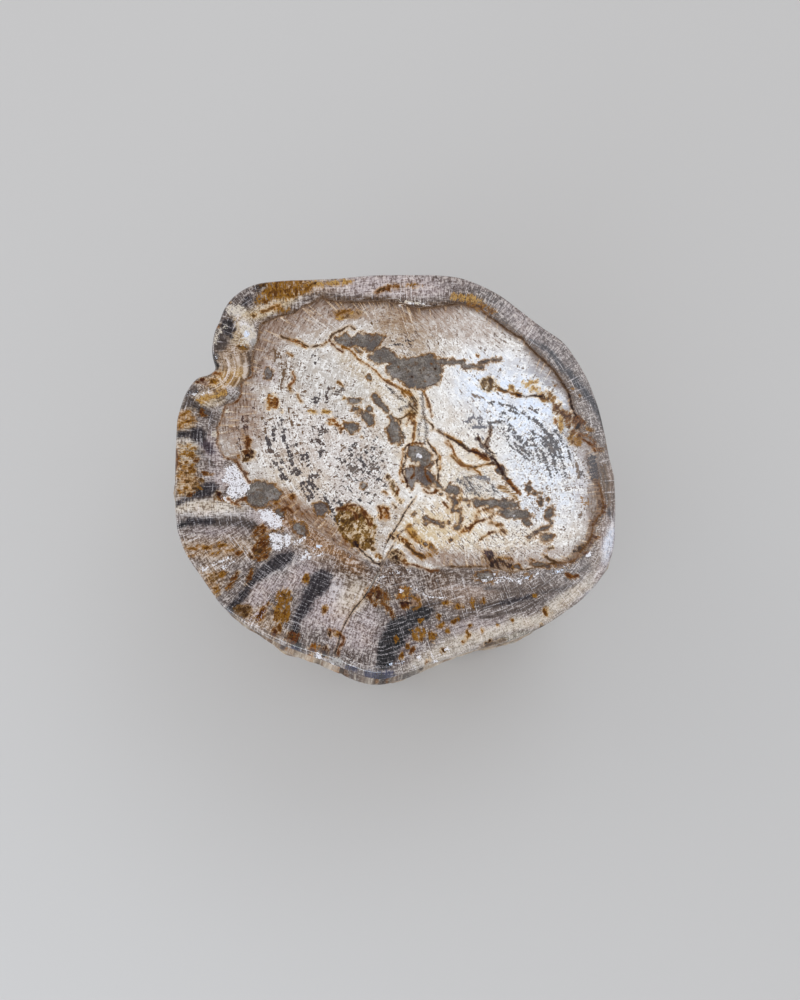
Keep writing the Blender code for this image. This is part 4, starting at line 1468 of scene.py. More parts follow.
    # --- vertices: side rings first, then the face's inner points
    n_rings = len(rings)
    n_side = n_rings * COLUMNS
    fx, fy = face_point(fu, fv)
    cut = -near_line(fu, fv, fissure, (0.0, 0.0))
    along = np.clip((fv - 497) / 20, 0, 1) * np.clip((657 - fv) / 6, 0, 1)
    low = -0.0011 * along * (1.0 - smooth(0.05, 0.75, cut))
    xyz = np.concatenate((
        np.stack((rx.ravel(), ry.ravel(), z.ravel()), 1),
        np.stack((fx, fy, HEIGHT + low), 1)))
    xyz[:, 0] -= ROW_OFFSET[0]
    xyz[:, 1] -= ROW_OFFSET[1]

    # --- the sawn base: plain points inside the last ring
    bx, by = xyz[n_side - COLUMNS:n_side, 0], xyz[n_side - COLUMNS:n_side, 1]
    g = 0.011
    gx, gy = np.meshgrid(np.arange(-0.20, 0.20, g), np.arange(-0.20, 0.20, g))
    gx = (gx + 0.5 * g * (np.round(gy / g).astype(int) % 2)).ravel()
    gy = gy.ravel()
    ok = in_area(gx * 1000, gy * 1000,
                 list(zip(bx * 1000, by * 1000))) > 5.0
    gx, gy = gx[ok], gy[ok]
    spots = [Vector(p) for p in zip(
        np.concatenate((bx, gx)).tolist(), np.concatenate((by, gy)).tolist())]
    loop = [(k, (k + 1) % COLUMNS) for k in range(COLUMNS)]
    cdt = delaunay_2d_cdt(spots, loop, [], 1, 1e-7, True)
    base_src = np.array([o[0] for o in cdt[3]])
    base_tris = base_src[np.array([f for f in cdt[2]])]
    all_x, all_y = np.concatenate((bx, gx)), np.concatenate((by, gy))
    base_tris = base_tris[within(all_x[base_tris].mean(1),
                                 all_y[base_tris].mean(1), bx, by)]
    n_face = len(fu)
    base_at = n_side + n_face
    base_tris = np.where(base_tris < COLUMNS,
                         base_tris + n_side - COLUMNS,
                         base_tris - COLUMNS + base_at)
    xyz = np.concatenate((xyz, np.stack((gx, gy, 0.0 * gx), 1)))
    face_tris = np.where(face_tris >= n_in, face_tris - n_in,
                         face_tris + n_side)

    # --- faces: side quads as two triangles each
    j, i = np.meshgrid(np.arange(n_rings - 1), np.arange(COLUMNS),
                       indexing="ij")
    a = j * COLUMNS + i
    b = j * COLUMNS + (i + 1) % COLUMNS
    c, d = a + COLUMNS, b + COLUMNS
    flip = ((i + j) % 2 == 0)[..., None]
    one = np.where(flip, np.stack((a, c, b), -1), np.stack((a, c, d), -1))
    two = np.where(flip, np.stack((b, c, d), -1), np.stack((a, d, b), -1))
    side_tris = np.stack((one, two), 2).reshape(-1, 3)
    side_ring = np.repeat(j.ravel(), 2)
    side_col = np.repeat(i.ravel(), 2)

    def outward(tris, up):
        p, q, r = (xyz[tris[:, k]] for k in range(3))
        turn = np.cross(q - p, r - p)[:, 2] * up
        bad = turn < 0
        tris[bad] = tris[bad][:, ::-1]
        return tris

    face_tris = outward(face_tris, 1.0)
    base_tris = outward(base_tris, -1.0)
    tris = np.concatenate((side_tris, face_tris, base_tris))
    mesh = bpy.data.meshes.new("stump_stone")
    mesh.vertices.add(len(xyz))
    mesh.vertices.foreach_set("co", xyz.astype(np.float32).ravel())
    mesh.loops.add(3 * len(tris))
    mesh.loops.foreach_set("vertex_index", tris.astype(np.int32).ravel())
    mesh.polygons.add(len(tris))
    mesh.polygons.foreach_set(
        "loop_start", np.arange(0, 3 * len(tris), 3, dtype=np.int32))
    mesh.polygons.foreach_set(
        "material_index",
        np.concatenate((np.where(side_ring < BEVEL_ROWS, 0, 1),
                        np.zeros(len(face_tris), int),
                        np.ones(len(base_tris), int))).astype(np.int32))
    mesh.update(calc_edges=True)
    mesh.validate()

    # --- what the materials read
    n = len(xyz)
    n_edge = (BEVEL_ROWS + 1) * COLUMNS          # rings of the rounded edge
    eu, ev = face_pixel(rx[:BEVEL_ROWS + 1].ravel(),
                        ry[:BEVEL_ROWS + 1].ravel())
    au = np.concatenate((eu, fu))
    av = np.concatenate((ev, fv))
    where = np.concatenate((np.arange(n_edge),
                            n_side + np.arange(n_face)))

    def spread(values, fill):
        values = np.asarray(values)
        out = np.empty((n,) + values.shape[1:])
        out[:] = fill
        out[where] = values
        return out

    for name in LAYERS:
        d, colour = lay_down(found[name], au, av, SOLID.get(name, 9.0))
        set_float(mesh, name, spread(d, FAR))
        set_colour(mesh, name + "_colour", spread(colour, 0.2))
    zone = in_area(au, av, points(HEARTWOOD))
    zone_w = zone + 1.2 * fractal(au / 6.0, av / 6.0, 2.2, 53, 3)
    # besides the stone's colours, the washes hold painted sheen and painted edge highlights, and they all go into
    # the tint
    heart = wash(HEART_WASH, (212, 206, 200), au, av)
    rim = wash(RIM_WASH, (119, 108, 104), au, av)
    # the heartwood darkens to pinkish brown towards its edge
    left = 1.0 - smooth(300, 470, au)
    reach = 7.0 + 9.0 * left
    halo = (0.62 + 0.14 * left) * np.exp(-np.maximum(zone, 0) / reach)
    lower = smooth(540, 560, av)
    halo = halo * (1.0 - 0.45 * lower)
    heart += (stone_tone((128, 106, 92)) - heart) * halo[:, None]
    outer = 0.35 * np.exp(-np.maximum(-zone, 0) / 4.0)
    rim += (stone_tone((104, 84, 68)) - rim) * outer[:, None]
    # and a soft brown band marks it above and on the right
    wob = zone + 2.6 * fractal(au / 7.0, av / 7.0, 6.6, 57, 3)
    band = 0.84 * np.exp(-(wob / 4.6) ** 2) * smooth(290, 340, au + 0.4 * (
        330 - av)) * (1.0 - 0.10 * smooth(400, 450, av))
    band = band * (1.0 - smooth(554, 574, av)) * (1.0 - smooth(
        420, 450, av) * (1.0 - smooth(540, 575, au)))
    band = np.maximum(band, 0.62 * np.exp(-((wob + 1.0) / 3.4) ** 2) * (
        1.0 - smooth(262, 292, au)) * (1.0 - smooth(384, 404, av)))
    for part in (heart, rim):
        part += (stone_tone((84, 63, 48)) - part) * band[:, None]
    mix = smooth(-0.8, 0.8, zone_w)[:, None]
    set_colour(mesh, "tint", spread(rim * (1 - mix) + heart * mix, 0.3))
    set_float(mesh, "zone", spread(np.clip(zone_w, -30, 30), -30))
    set_float(mesh, "flecks", spread(crowd(FLECKS, au, av), 0.0))

    # grain directions: rings of the heartwood, and of the rim by the outline
    w = smooth(380.0, 520.0, au)
    cu, cv = 425.0 + 50.0 * w, 405.0 + 100.0 * w
    phi = np.arctan2(av - cv, au - cu)
    rho = np.hypot(av - cv, au - cu)
    g_heart = np.stack((np.cos(phi), np.sin(phi), rho / 100.0), 1)
    oth = np.linspace(-math.pi, math.pi, 721)
    orad = OUTLINE(oth)
    ou, ov = face_pixel(hx + orad * np.cos(oth), hy + orad * np.sin(oth))
    run = np.concatenate(([0.0], np.cumsum(np.hypot(np.diff(ou),
                                                    np.diff(ov)))))
    best = np.full(len(au), 1e9)
    at = np.zeros(len(au))
    for k in range(720):
        dx, dy = ou[k + 1] - ou[k], ov[k + 1] - ov[k]
        t = np.clip(((au - ou[k]) * dx + (av - ov[k]) * dy)
                    / (dx * dx + dy * dy), 0.0, 1.0)
        d = np.hypot(au - ou[k] - t * dx, av - ov[k] - t * dy)
        hit = d < best
        best[hit] = d[hit]
        at[hit] = (run[k] + t * (run[k + 1] - run[k]))[hit]
    turn = at / run[-1] * 2.0 * math.pi
    big = run[-1] / (2.0 * math.pi) / 100.0
    g_rim = np.stack((4.0 + big * np.cos(turn), 4.0 + big * np.sin(turn),
                      best / 100.0), 1)
    set_vector(mesh, "grain", spread(
        np.where((zone > 0)[:, None], g_heart, g_rim), 0.0))
    set_vector(mesh, "face_px", spread(
        np.stack((au / 100.0, av / 100.0, 0 * au), 1), 0.0))

    # the side and base
    full = np.zeros((n, 3))
    r0 = 1.65
    full[:n_side] = np.stack((r0 * np.cos(grain).ravel(),
                              r0 * np.sin(grain).ravel(),
                              z.ravel() * 10.0), 1)
    full[base_at:] = xyz[base_at:] * 10.0 + (7.0, 0.0, 0.0)
    set_vector(mesh, "side_px", full)
    value = np.zeros(n)
    value[:n_side] = (recess * 1000.0).ravel()
    set_float(mesh, "recess", value)
    value = np.zeros(n)
    value[:n_side] = (broad * 1000.0).ravel()
    set_float(mesh, "broad", value)
    value = np.full(n, 200.0)
    value[:n_side] = (below * 1000.0).ravel()
    set_float(mesh, "below", value)

    # colour of the rim at each column, carried down the side
    pu, pv = face_pixel(hx + (OUTLINE(theta) - 0.008) * np.cos(theta),
                        hy + (OUTLINE(theta) - 0.008) * np.sin(theta))
    # the rim's washes bring their painted edge highlights down the side with them
    tone = wash(RIM_WASH, (140, 129, 122), pu, pv)
    for name in ("streak", "stain"):
        d, colour = lay_down(found[name], pu, pv, SOLID.get(name, 9.0))
        m = smooth(-2.5, 1.5, d)[:, None]
        tone = tone * (1 - m) + colour * m
    shift = np.round((grain - th) / (2 * math.pi) * COLUMNS).astype(int)
    take = (np.arange(COLUMNS)[None, :] + shift) % COLUMNS
    carried = np.full((n, 3), 0.2)
    carried[:n_side] = tone[take].reshape(-1, 3)
    set_colour(mesh, "carried", carried)

    # --- map for the bake: the face, a strip for the side, and the base
    uv = np.zeros((len(tris), 3, 2))
    span = 0.345
    cxy = np.array((0.0, 0.010))
    plan = (xyz[:, :2] - cxy)
    n_s = len(side_tris)
    rim_rows = side_ring < BEVEL_ROWS + 3
    out = np.zeros(n_side)
    run = np.cumsum(np.concatenate((
        np.zeros((1, COLUMNS)),
        np.sqrt(np.diff(rx, axis=0) ** 2 + np.diff(ry, axis=0) ** 2
                + np.diff(z, axis=0) ** 2))), 0)
    spreadout = np.stack((np.cos(th), np.sin(th)), -1) * run[..., None]
    base_plan = np.stack((rx[0] - ROW_OFFSET[0] - cxy[0],
                          ry[0] - ROW_OFFSET[1] - cxy[1]), -1)
    rolled = base_plan[None] + spreadout
    rolled = rolled.reshape(-1, 2)
    size = 0.415
    face_uv = np.array((0.345, 0.670))
    scale = 0.66 / size
    full_plan = plan.copy()
    full_plan[:n_side] = rolled
    fit = full_plan * scale * (1.03, 1.0) + face_uv
    uv[n_s:n_s + len(face_tris)] = fit[face_tris]
    sel = np.nonzero(rim_rows)[0]
    uv[sel] = fit[side_tris[sel]]
    sel = np.nonzero(~rim_rows)[0]
    col = side_col[sel][:, None]
    vcol = side_tris[sel] % COLUMNS
    vcol = np.where((vcol == 0) & (col == COLUMNS - 1), COLUMNS, vcol)
    vrow = side_tris[sel] // COLUMNS
    first = BEVEL_ROWS + 3
    uv[sel, :, 0] = 0.004 + 0.992 * vcol / COLUMNS
    uv[sel, :, 1] = 0.325 - 0.32 * (vrow - first) / (n_rings - 1 - first)
    base_uv = plan * (0.29 / 0.40) + (0.845, 0.52)
    uv[n_s + len(face_tris):] = base_uv[base_tris]
    layer = mesh.uv_layers.new(name="OFBake")
    layer.data.foreach_set("uv", uv.astype(np.float32).ravel())

    mesh.shade_smooth()
    mesh.set_sharp_from_angle(angle=math.radians(70.0))
    obj = bpy.data.objects.new("stump_stone", mesh)
    bpy.context.scene.collection.objects.link(obj)
    print("stump_stone: %d triangles, %d on the face"
          % (len(tris), len(face_tris)))
    return obj


# ---------------------------------------------------------------- materials
class Nodes:
    """Short names for the shader nodes used here."""

    def __init__(self, name):
        self.mat = bpy.data.materials.new(name)
        self.mat.use_nodes = True
        self.tree = self.mat.node_tree
        self.bsdf = self.tree.nodes["Principled BSDF"]

    def new(self, kind):
        return self.tree.nodes.new(kind)

    def put(self, socket, value):
        if isinstance(value, bpy.types.NodeSocket):
            self.tree.links.new(value, socket)
        elif isinstance(value, (tuple, list)) and len(value) == 3 and \
                socket.type == "RGBA":
            socket.default_value = tuple(value) + (1.0,)
        else:
            socket.default_value = value

    def attr(self, name):
        node = self.new("ShaderNodeAttribute")
        node.attribute_type = "GEOMETRY"
        node.attribute_name = name
        return node.outputs

    def math(self, op, a, b=0.0, c=0.0, clamp=False):
        node = self.new("ShaderNodeMath")
        node.operation = op
        node.use_clamp = clamp
        self.put(node.inputs[0], a)
        self.put(node.inputs[1], b)
        self.put(node.inputs[2], c)
        return node.outputs[0]

    def vec(self, op, a, b=(0.0, 0.0, 0.0)):
        node = self.new("ShaderNodeVectorMath")
        node.operation = op
        self.put(node.inputs[0], a)
        self.put(node.inputs[1], b)
        return node.outputs[0]

    def noise(self, vector, size, detail=2.0, rough=0.5, warp=0.0,
              stretch=None):
        """Noise of features about 1/size across, each axis stretched."""
        if stretch is not None:
            vector = self.vec("MULTIPLY", vector, stretch)
        node = self.new("ShaderNodeTexNoise")
        node.noise_dimensions = "3D"
        self.put(node.inputs["Vector"], vector)
        node.inputs["Scale"].default_value = size
        node.inputs["Detail"].default_value = detail
        node.inputs["Roughness"].default_value = rough
        node.inputs["Distortion"].default_value = warp
        return node.outputs["Fac"]

    def cells(self, vector, size, feature="F1", stretch=None):
        if stretch is not None:
            vector = self.vec("MULTIPLY", vector, stretch)
        node = self.new("ShaderNodeTexVoronoi")
        node.feature = feature
        self.put(node.inputs["Vector"], vector)
        node.inputs["Scale"].default_value = size
        return node.outputs

    def step(self, value, lo, hi, a=0.0, b=1.0):
        node = self.new("ShaderNodeMapRange")
        node.interpolation_type = "SMOOTHSTEP"
        self.put(node.inputs["Value"], value)
        self.put(node.inputs["From Min"], lo)
        self.put(node.inputs["From Max"], hi)
        self.put(node.inputs["To Min"], a)
        self.put(node.inputs["To Max"], b)
        return node.outputs["Result"]

    def mix(self, fac, a, b, how="MIX"):
        node = self.new("ShaderNodeMix")
        node.data_type = "RGBA"
        node.blend_type = how
        self.put(node.inputs["Factor"], fac)
        self.put(node.inputs["A"], a)
        self.put(node.inputs["B"], b)
        # the colour sockets are the third pair
        ins = [s for s in node.inputs if s.type == "RGBA"]
        self.put(ins[0], a)
        self.put(ins[1], b)
        return [s for s in node.outputs if s.type == "RGBA"][0]

    def ramp(self, fac, stops):
        node = self.new("ShaderNodeValToRGB")
        ramp = node.color_ramp
        while len(ramp.elements) > 1:
            ramp.elements.remove(ramp.elements[-1])
        for k, (pos, rgb) in enumerate(stops):
            e = ramp.elements[0] if k == 0 else ramp.elements.new(pos)
            e.position = pos
            e.color = tuple(linear(rgb)) + (1.0,)
        self.put(node.inputs["Fac"], fac)
        return node.outputs["Color"]

    def grey_mix(self, fac, a, b):
        node = self.new("ShaderNodeMix")
        node.data_type = "FLOAT"
        self.put(node.inputs["Factor"], fac)
        ins = [s for s in node.inputs if s.type == "VALUE" and
               s.name in ("A", "B")]
        self.put(ins[0], a)
        self.put(ins[1], b)
        return [s for s in node.outputs if s.type == "VALUE"][0]

    def bump(self, height, strength, distance, normal=None):
        node = self.new("ShaderNodeBump")
        node.inputs["Strength"].default_value = strength
        node.inputs["Distance"].default_value = distance
        self.put(node.inputs["Height"], height)
        if normal is not None:
            self.put(node.inputs["Normal"], normal)
        return node.outputs["Normal"]


def rgb(r, g, b):
    return tuple(float(c) for c in linear((r, g, b)))


def tone_of(r, g, b):
    return tuple(float(c) for c in stone_tone((r, g, b)))


def face_material():
    n = Nodes("petrified_wood_polished")
    px = n.attr("face_px")["Vector"]
    grain = n.attr("grain")["Vector"]
    tint = n.attr("tint")["Color"]
    zone = n.attr("zone")["Fac"]
    crowd_ = n.attr("flecks")["Fac"]
    layer = {name: n.attr(name)["Fac"] for name in LAYERS}
    paint = {name: n.attr(name + "_colour")["Color"] for name in LAYERS}

    def wave(fac, spread=0.105):
        """Noise as a wave about 0, about 1 deep."""
        return n.math("MULTIPLY_ADD", fac, 1.0 / spread, -0.5 / spread)

    def blend(*parts):
        total = None
        for amount, value in parts:
            if total is None:
                total = n.math("MULTIPLY", value, amount)
            else:
                total = n.math("MULTIPLY_ADD", value, amount, total)
        return total

    def times(a, b):
        return n.math("MULTIPLY", a, b)

    def ridge(value, wide):
        """1 along the lines where a wave crosses 0."""
        return n.step(n.math("ABSOLUTE", value), wide, 0.0)

    def filtered(colour, *rgb_):
        """Colour seen through a stain of this tone."""
        return n.mix(1.0, colour, rgb(*rgb_), "MULTIPLY")

    broad = wave(n.noise(px, 5.0, 3.0, 0.55))
    mid = wave(n.noise(px, 15.0, 4.0, 0.68, 0.35))
    lobes = wave(n.noise(px, 24.0, 3.0, 0.70, 0.5))
    tiny = wave(n.noise(px, 62.0, 1.0, 0.6))
    grit = wave(n.noise(px, 104.0, 1.0, 0.6))
    worms = ridge(wave(n.noise(px, 38.0, 1.0, 0.5, 0.6)), 0.62)
    rays = wave(n.noise(grain, 1.0, 1.5, 0.6, 0.0, (56.0, 56.0, 9.0)))
    rings_ = wave(n.noise(grain, 1.0, 1.5, 0.6, 0.0, (11.0, 11.0, 50.0)))
    flow = wave(n.noise(grain, 1.0, 2.0, 0.6, 0.0, (14.0, 14.0, 30.0)))
    line_t = wave(n.noise(grain, 1.0, 1.0, 0.5, 0.0, (4.0, 4.0, 64.0)))
    line_r = wave(n.noise(grain, 1.0, 1.0, 0.5, 0.0, (72.0, 72.0, 4.0)))
    rays_f = wave(n.noise(grain, 1.0, 1.0, 0.6, 0.0, (60.0, 60.0, 18.0)))
    rings_f = wave(n.noise(grain, 1.0, 1.0, 0.6, 0.0, (20.0, 20.0, 56.0)))
    shred = wave(n.noise(grain, 1.0, 3.0, 0.7, 0.3, (34.0, 34.0, 13.0)))
    weave = blend((0.26, rays), (0.40, rings_), (0.56, tiny), (0.50, grit))
    hatch = blend((0.74, rays_f), (0.62, rings_f), (0.30, tiny), (0.36, grit),
                  (0.22, mid))
    heart = n.step(zone, -0.6, 0.6)
    # on the right the rim is finer grained
    place = n.new("ShaderNodeVectorMath")
    place.operation = "DOT_PRODUCT"
    n.put(place.inputs[0], px)
    n.put(place.inputs[1], (1.0, 0.55, 0.0))
    fine = n.step(place.outputs["Value"], 7.4, 8.1)
    hatch = n.grey_mix(fine, hatch, blend((0.34, rays_f), (0.60, rings_f),
                                          (0.46, tiny), (0.70, grit)))

    # ground colour, uneven
    base = n.mix(n.step(broad, -0.5, 1.4, 0.0, 0.50), tint,
                 filtered(tint, 224, 208, 190))
    base = n.mix(n.step(mid, 0.2, 1.8, 0.0, 0.36), base,
                 filtered(base, 206, 186, 164))

    # dark bands across the rim, soft at the edge and dotted through
    d = n.math("ADD", n.math("MINIMUM", layer["streak"], 3.2),
               blend((0.8, mid), (0.55, rings_), (0.7, tiny), (0.4, grit)))
    streak = n.step(d, -2.8, 1.8)
    base_r = n.mix(times(streak, 0.95), base, paint["streak"])
    # the rim's cells: crossed light and dark grains
    calm = n.math("MULTIPLY_ADD", streak, -0.84, 1.0)
    dark = n.step(hatch, 0.0, -1.5)
    dark = times(dark, n.math("MULTIPLY_ADD", fine, -0.30, 1.0))
    base_r = n.mix(times(dark, 0.90), base_r, filtered(base_r, 150, 134, 122))
    light = n.math("MULTIPLY_ADD", worms, 0.16,
                   n.step(hatch, 0.0, 1.5, 0.0, 0.95))
    light = times(light, n.step(mid, -1.4, 0.8, 0.55, 1.0))
    base_r = n.mix(times(times(light, calm), 0.70), base_r,
                   n.mix(0.66, base_r, tone_of(238, 228, 222)))
    scratch = n.math("MAXIMUM",
                     n.step(blend((0.9, line_t), (0.25, tiny)), 1.2, 1.7),
                     n.step(blend((0.9, line_r), (0.25, tiny)), 1.2, 1.8))
    scratch = times(scratch, n.step(grit, -1.0, 0.0, 0.25, 1.0))
    scratch = times(scratch, n.step(broad, -1.3, 0.8, 0.35, 1.0))
    base_r = n.mix(times(scratch, 0.66), base_r, tone_of(226, 219, 219))
    split = n.new("ShaderNodeSeparateXYZ")
    n.put(split.inputs[0], grain)
    turn = n.math("MULTIPLY_ADD", split.outputs["Z"], 150.0,
                  blend((1.6, broad), (0.22, mid), (0.20, tiny)))
    ringline = n.step(n.math("SINE", turn), 0.45, 1.0)
    ringline = times(ringline, n.step(blend((0.7, grit), (0.8, rays_f)),
                                      -0.9, 1.2, 0.0, 1.0))
    ringline = times(ringline, n.step(line_t, -1.2, 0.8, 0.15, 1.0))
    ringline = times(ringline, n.math("MULTIPLY_ADD", streak, 0.22, 0.14))
    near = n.new("ShaderNodeVectorMath")
    near.operation = "DISTANCE"
    n.put(near.inputs[0], px)
    n.put(near.inputs[1], (2.30, 3.62, 0.0))
    ringline = times(ringline, n.step(near.outputs["Value"], 0.18, 0.40))
    deep = n.step(d, 0.8, 3.0, 0.0, 0.55)
    base_r = n.mix(deep, base_r, filtered(base_r, 150, 146, 158))
    base_r = n.mix(ringline, base_r, tone_of(222, 216, 220))
    score = n.step(blend((0.9, line_t), (0.25, tiny)), -1.35, -2.0)
    base_r = n.mix(times(score, 0.50), base_r, tone_of(70, 60, 56))

    # heartwood: pale ground crowded by dark cells
    luma = n.new("ShaderNodeRGBToBW")
    n.put(luma.inputs[0], tint)
    fair = n.step(luma.outputs[0], 0.08, 0.52, 0.10, 1.0)
    busy = n.math("MULTIPLY_ADD", crowd_, 0.75, 0.30)
    pale = n.step(blend((0.5, weave), (0.9, mid), (0.5, flow)), -0.9, 1.6,
                  0.0, 0.76)
    pale = n.mix(times(pale, fair), base, tone_of(248, 247, 246))
    pale = n.mix(times(n.step(weave, 0.0, -1.6, 0.0, 0.85), busy), pale,
                 filtered(pale, 184, 166, 152))
    lift = n.math("MAXIMUM", times(crowd_, 1.16),
                  n.step(layer["dash"], -2.6, 1.6, 0.0, 2.75))
    field = blend((-0.40, tiny), (0.62, rings_f), (0.36, flow),
                  (-0.62, rays_f), (0.36, mid), (-0.22, grit))
    field = n.math("ADD", field, lift)
    flecks = n.step(field, 1.42, 1.95)
    soft_fleck = n.step(field, 0.40, 1.6, 0.0, 0.36)
    grained = times(n.step(fair, 0.65, 0.25), n.step(rings_f, -0.2, 1.2))
    pale = n.mix(times(grained, 0.7), pale, filtered(pale, 180, 142, 104))
    shaft = times(n.step(fair, 0.65, 0.25), n.step(line_r, 0.5, 1.6))
    pale = n.mix(times(shaft, 0.5), pale, tone_of(204, 170, 128))
    base_h = n.mix(soft_fleck, pale, filtered(pale, 176, 160, 148))
    ink = n.mix(n.step(layer["dash"], -4.0, -2.0),
                n.mix(n.step(mid, -1.0, 1.0), tone_of(74, 58, 48),
                      tone_of(114, 92, 76)), paint["dash"])
    ink = n.mix(n.step(mid, 0.2, 1.6, 0.0, 0.55), ink, tone_of(98, 74, 56))
    ink = n.mix(n.step(grit, 0.3, 1.6, 0.0, 0.35), ink, tone_of(160, 148, 140))
    base_h = n.mix(times(flecks, 0.93), base_h, ink)
    hair = n.step(blend((0.9, line_r), (0.35, tiny)), 1.35, 2.1)
    base_h = n.mix(times(hair, 0.45), base_h, tone_of(240, 236, 232))
    cut = n.step(blend((0.9, line_t), (0.35, tiny)), -1.4, -2.2)
    base_h = n.mix(times(cut, 0.35), base_h, tone_of(96, 82, 74))
    colour = n.mix(heart, base_r, base_h)
    # dashes drawn on the rim too
    colour = n.mix(times(n.step(n.math("ADD", layer["dash"],
                                       blend((0.9, tiny), (0.4, rays))),
                                -0.3, 0.9),
                         n.math("MULTIPLY_ADD", heart, -0.85, 0.85)),
                   colour, paint["dash"])

    # iron stains soak in: gold at the edge, brown inside, near black at heart,
    # the grain showing through and the edges breaking up
    d = n.math("ADD", layer["stain"],
               blend((0.60, mid), (0.45, lobes), (0.35, tiny), (1.15, shred)))
    gold = n.step(d, -3.0, 0.6)
    colour = n.mix(times(gold, 0.80), colour, filtered(colour, 232, 196, 130))
    body = n.step(d, -0.1, 0.6)
    thin = n.mix(0.30, paint["stain"], tone_of(172, 124, 48))
    tone = n.mix(n.step(blend((0.9, mid), (0.5, shred)), -1.6, 0.2),
                 thin, paint["stain"])
    tone = n.mix(times(light, 0.22), tone, tone_of(196, 160, 108))
    colour = n.mix(times(body, 0.90), colour, tone)
    core = n.step(blend((0.55, d), (0.20, grit), (0.55, mid), (0.45, rays_f)),
                  -0.1, 1.9)
    colour = n.mix(times(times(core, body), 0.90), colour,
                   filtered(paint["stain"], 136, 108, 84))

    # grey mineral with a golden brown margin
    d = n.math("ADD", n.math("MINIMUM", layer["mineral"], 3.4),
               blend((1.0, mid), (0.85, lobes), (0.25, tiny)))
    fill = n.step(d, -0.45, 0.55)
    tone = n.mix(n.step(grit, -1.0, 1.0), filtered(paint["mineral"],
                 190, 180, 172), paint["mineral"])
    tone = n.mix(n.step(tiny, 0.8, 1.9, 0.0, 0.50), tone, tone_of(158, 150, 143))
    tone = n.mix(n.step(broad, -0.2, -1.4, 0.0, 0.60), tone, tone_of(146, 140, 138))
    tone = n.mix(n.step(mid, 0.0, -1.3, 0.0, 0.72), tone, tone_of(146, 139, 132))
    tone = n.mix(n.step(mid, 0.5, 1.7, 0.0, 0.70), tone, tone_of(72, 62, 58))
    tone = n.mix(n.step(broad, 0.3, 1.5, 0.0, 0.60), tone, tone_of(84, 78, 78))
    tone = n.mix(n.step(lobes, 0.3, 1.5, 0.0, 0.75), tone, tone_of(92, 68, 46))
    tone = n.mix(n.step(tiny, -0.6, -1.7, 0.0, 0.75), tone, tone_of(66, 58, 54))
    colour = n.mix(times(n.step(d, -3.6, -0.6), 0.55), colour,
                   filtered(colour, 236, 198, 132))
    gilt = times(n.step(d, -2.6, -1.2), n.step(d, -0.1, -1.0))
    gilt = times(gilt, n.step(broad, -0.9, 0.6, 0.15, 1.0))
    colour = n.mix(fill, colour, tone)
    colour = n.mix(times(gilt, 0.66), colour, tone_of(150, 106, 38))
    margin = times(n.step(d, -1.7, -0.6), n.step(d, 1.5, 0.3))
    margin = times(margin, n.step(mid, -1.4, 0.4, 0.40, 1.0))
    colour = n.mix(times(margin, 0.88), colour,
                   n.mix(n.step(lobes, -0.6, 1.2), tone_of(64, 44, 24),
                         tone_of(116, 78, 30)))

    # chalk and clear crystal, crumbling at the edge
    d = n.math("ADD", layer["chalk"],
               blend((0.75, mid), (0.85, lobes), (0.75, tiny), (0.45, grit)))
    chalk = n.step(d, -0.1, 0.9)
    tone = n.mix(n.step(blend((0.6, tiny), (0.5, grit), (0.5, lobes)),
                        0.4, -1.3, 0.0, 0.85), paint["chalk"],
                 filtered(paint["chalk"], 178, 168, 172))
    colour = n.mix(times(chalk, 0.93), colour, tone)

    # thin lines: a golden fringe round a darker core, of uneven width
    d = n.math("ADD", layer["vein"], blend((0.50, mid), (0.40, lobes),
                                           (0.25, tiny)))
    fringe = n.step(d, -2.2, -0.2)
    colour = n.mix(times(fringe, 0.50), colour, filtered(colour, 232, 194, 132))
    vein = n.step(d, -0.55, 0.55)
    tone = n.mix(n.step(d, -0.1, 1.2, 0.0, 0.8), paint["vein"],
                 filtered(paint["vein"], 146, 120, 100))
    colour = n.mix(times(vein, n.step(mid, -1.8, 0.0, 0.40, 0.94)),
                   colour, tone)

    n.put(n.bsdf.inputs["Base Color"], colour)
    rough = n.step(tiny, -1.2, 1.2, 0.07, 0.14)
    rough = n.grey_mix(fill, rough, 0.46)
    rough = n.grey_mix(chalk, rough, 0.40)
    rough = n.grey_mix(vein, rough, 0.42)
    n.put(n.bsdf.inputs["Roughness"], rough)
    n.bsdf.inputs["IOR"].default_value = 1.54
    # the rounded lip is the best polished part
    lip = n.step(n.attr("below")["Fac"], 3.0, 0.0)
    soaked = n.math("MAXIMUM", times(body, 0.8), vein)
    n.put(n.bsdf.inputs["Specular IOR Level"],
          n.grey_mix(lip, n.grey_mix(soaked, 0.30, 0.10), 0.8))
    height = n.math("ADD", n.math("MULTIPLY", fill, -0.8),
                    n.math("MULTIPLY", vein, -0.7))
    height = n.math("MULTIPLY_ADD", flecks, -0.15, height)
    height = n.math("ADD", height, times(grit, times(fill, 0.12)))
    n.put(n.bsdf.inputs["Normal"], n.bump(height, 0.35, 0.0004))
    return n.mat


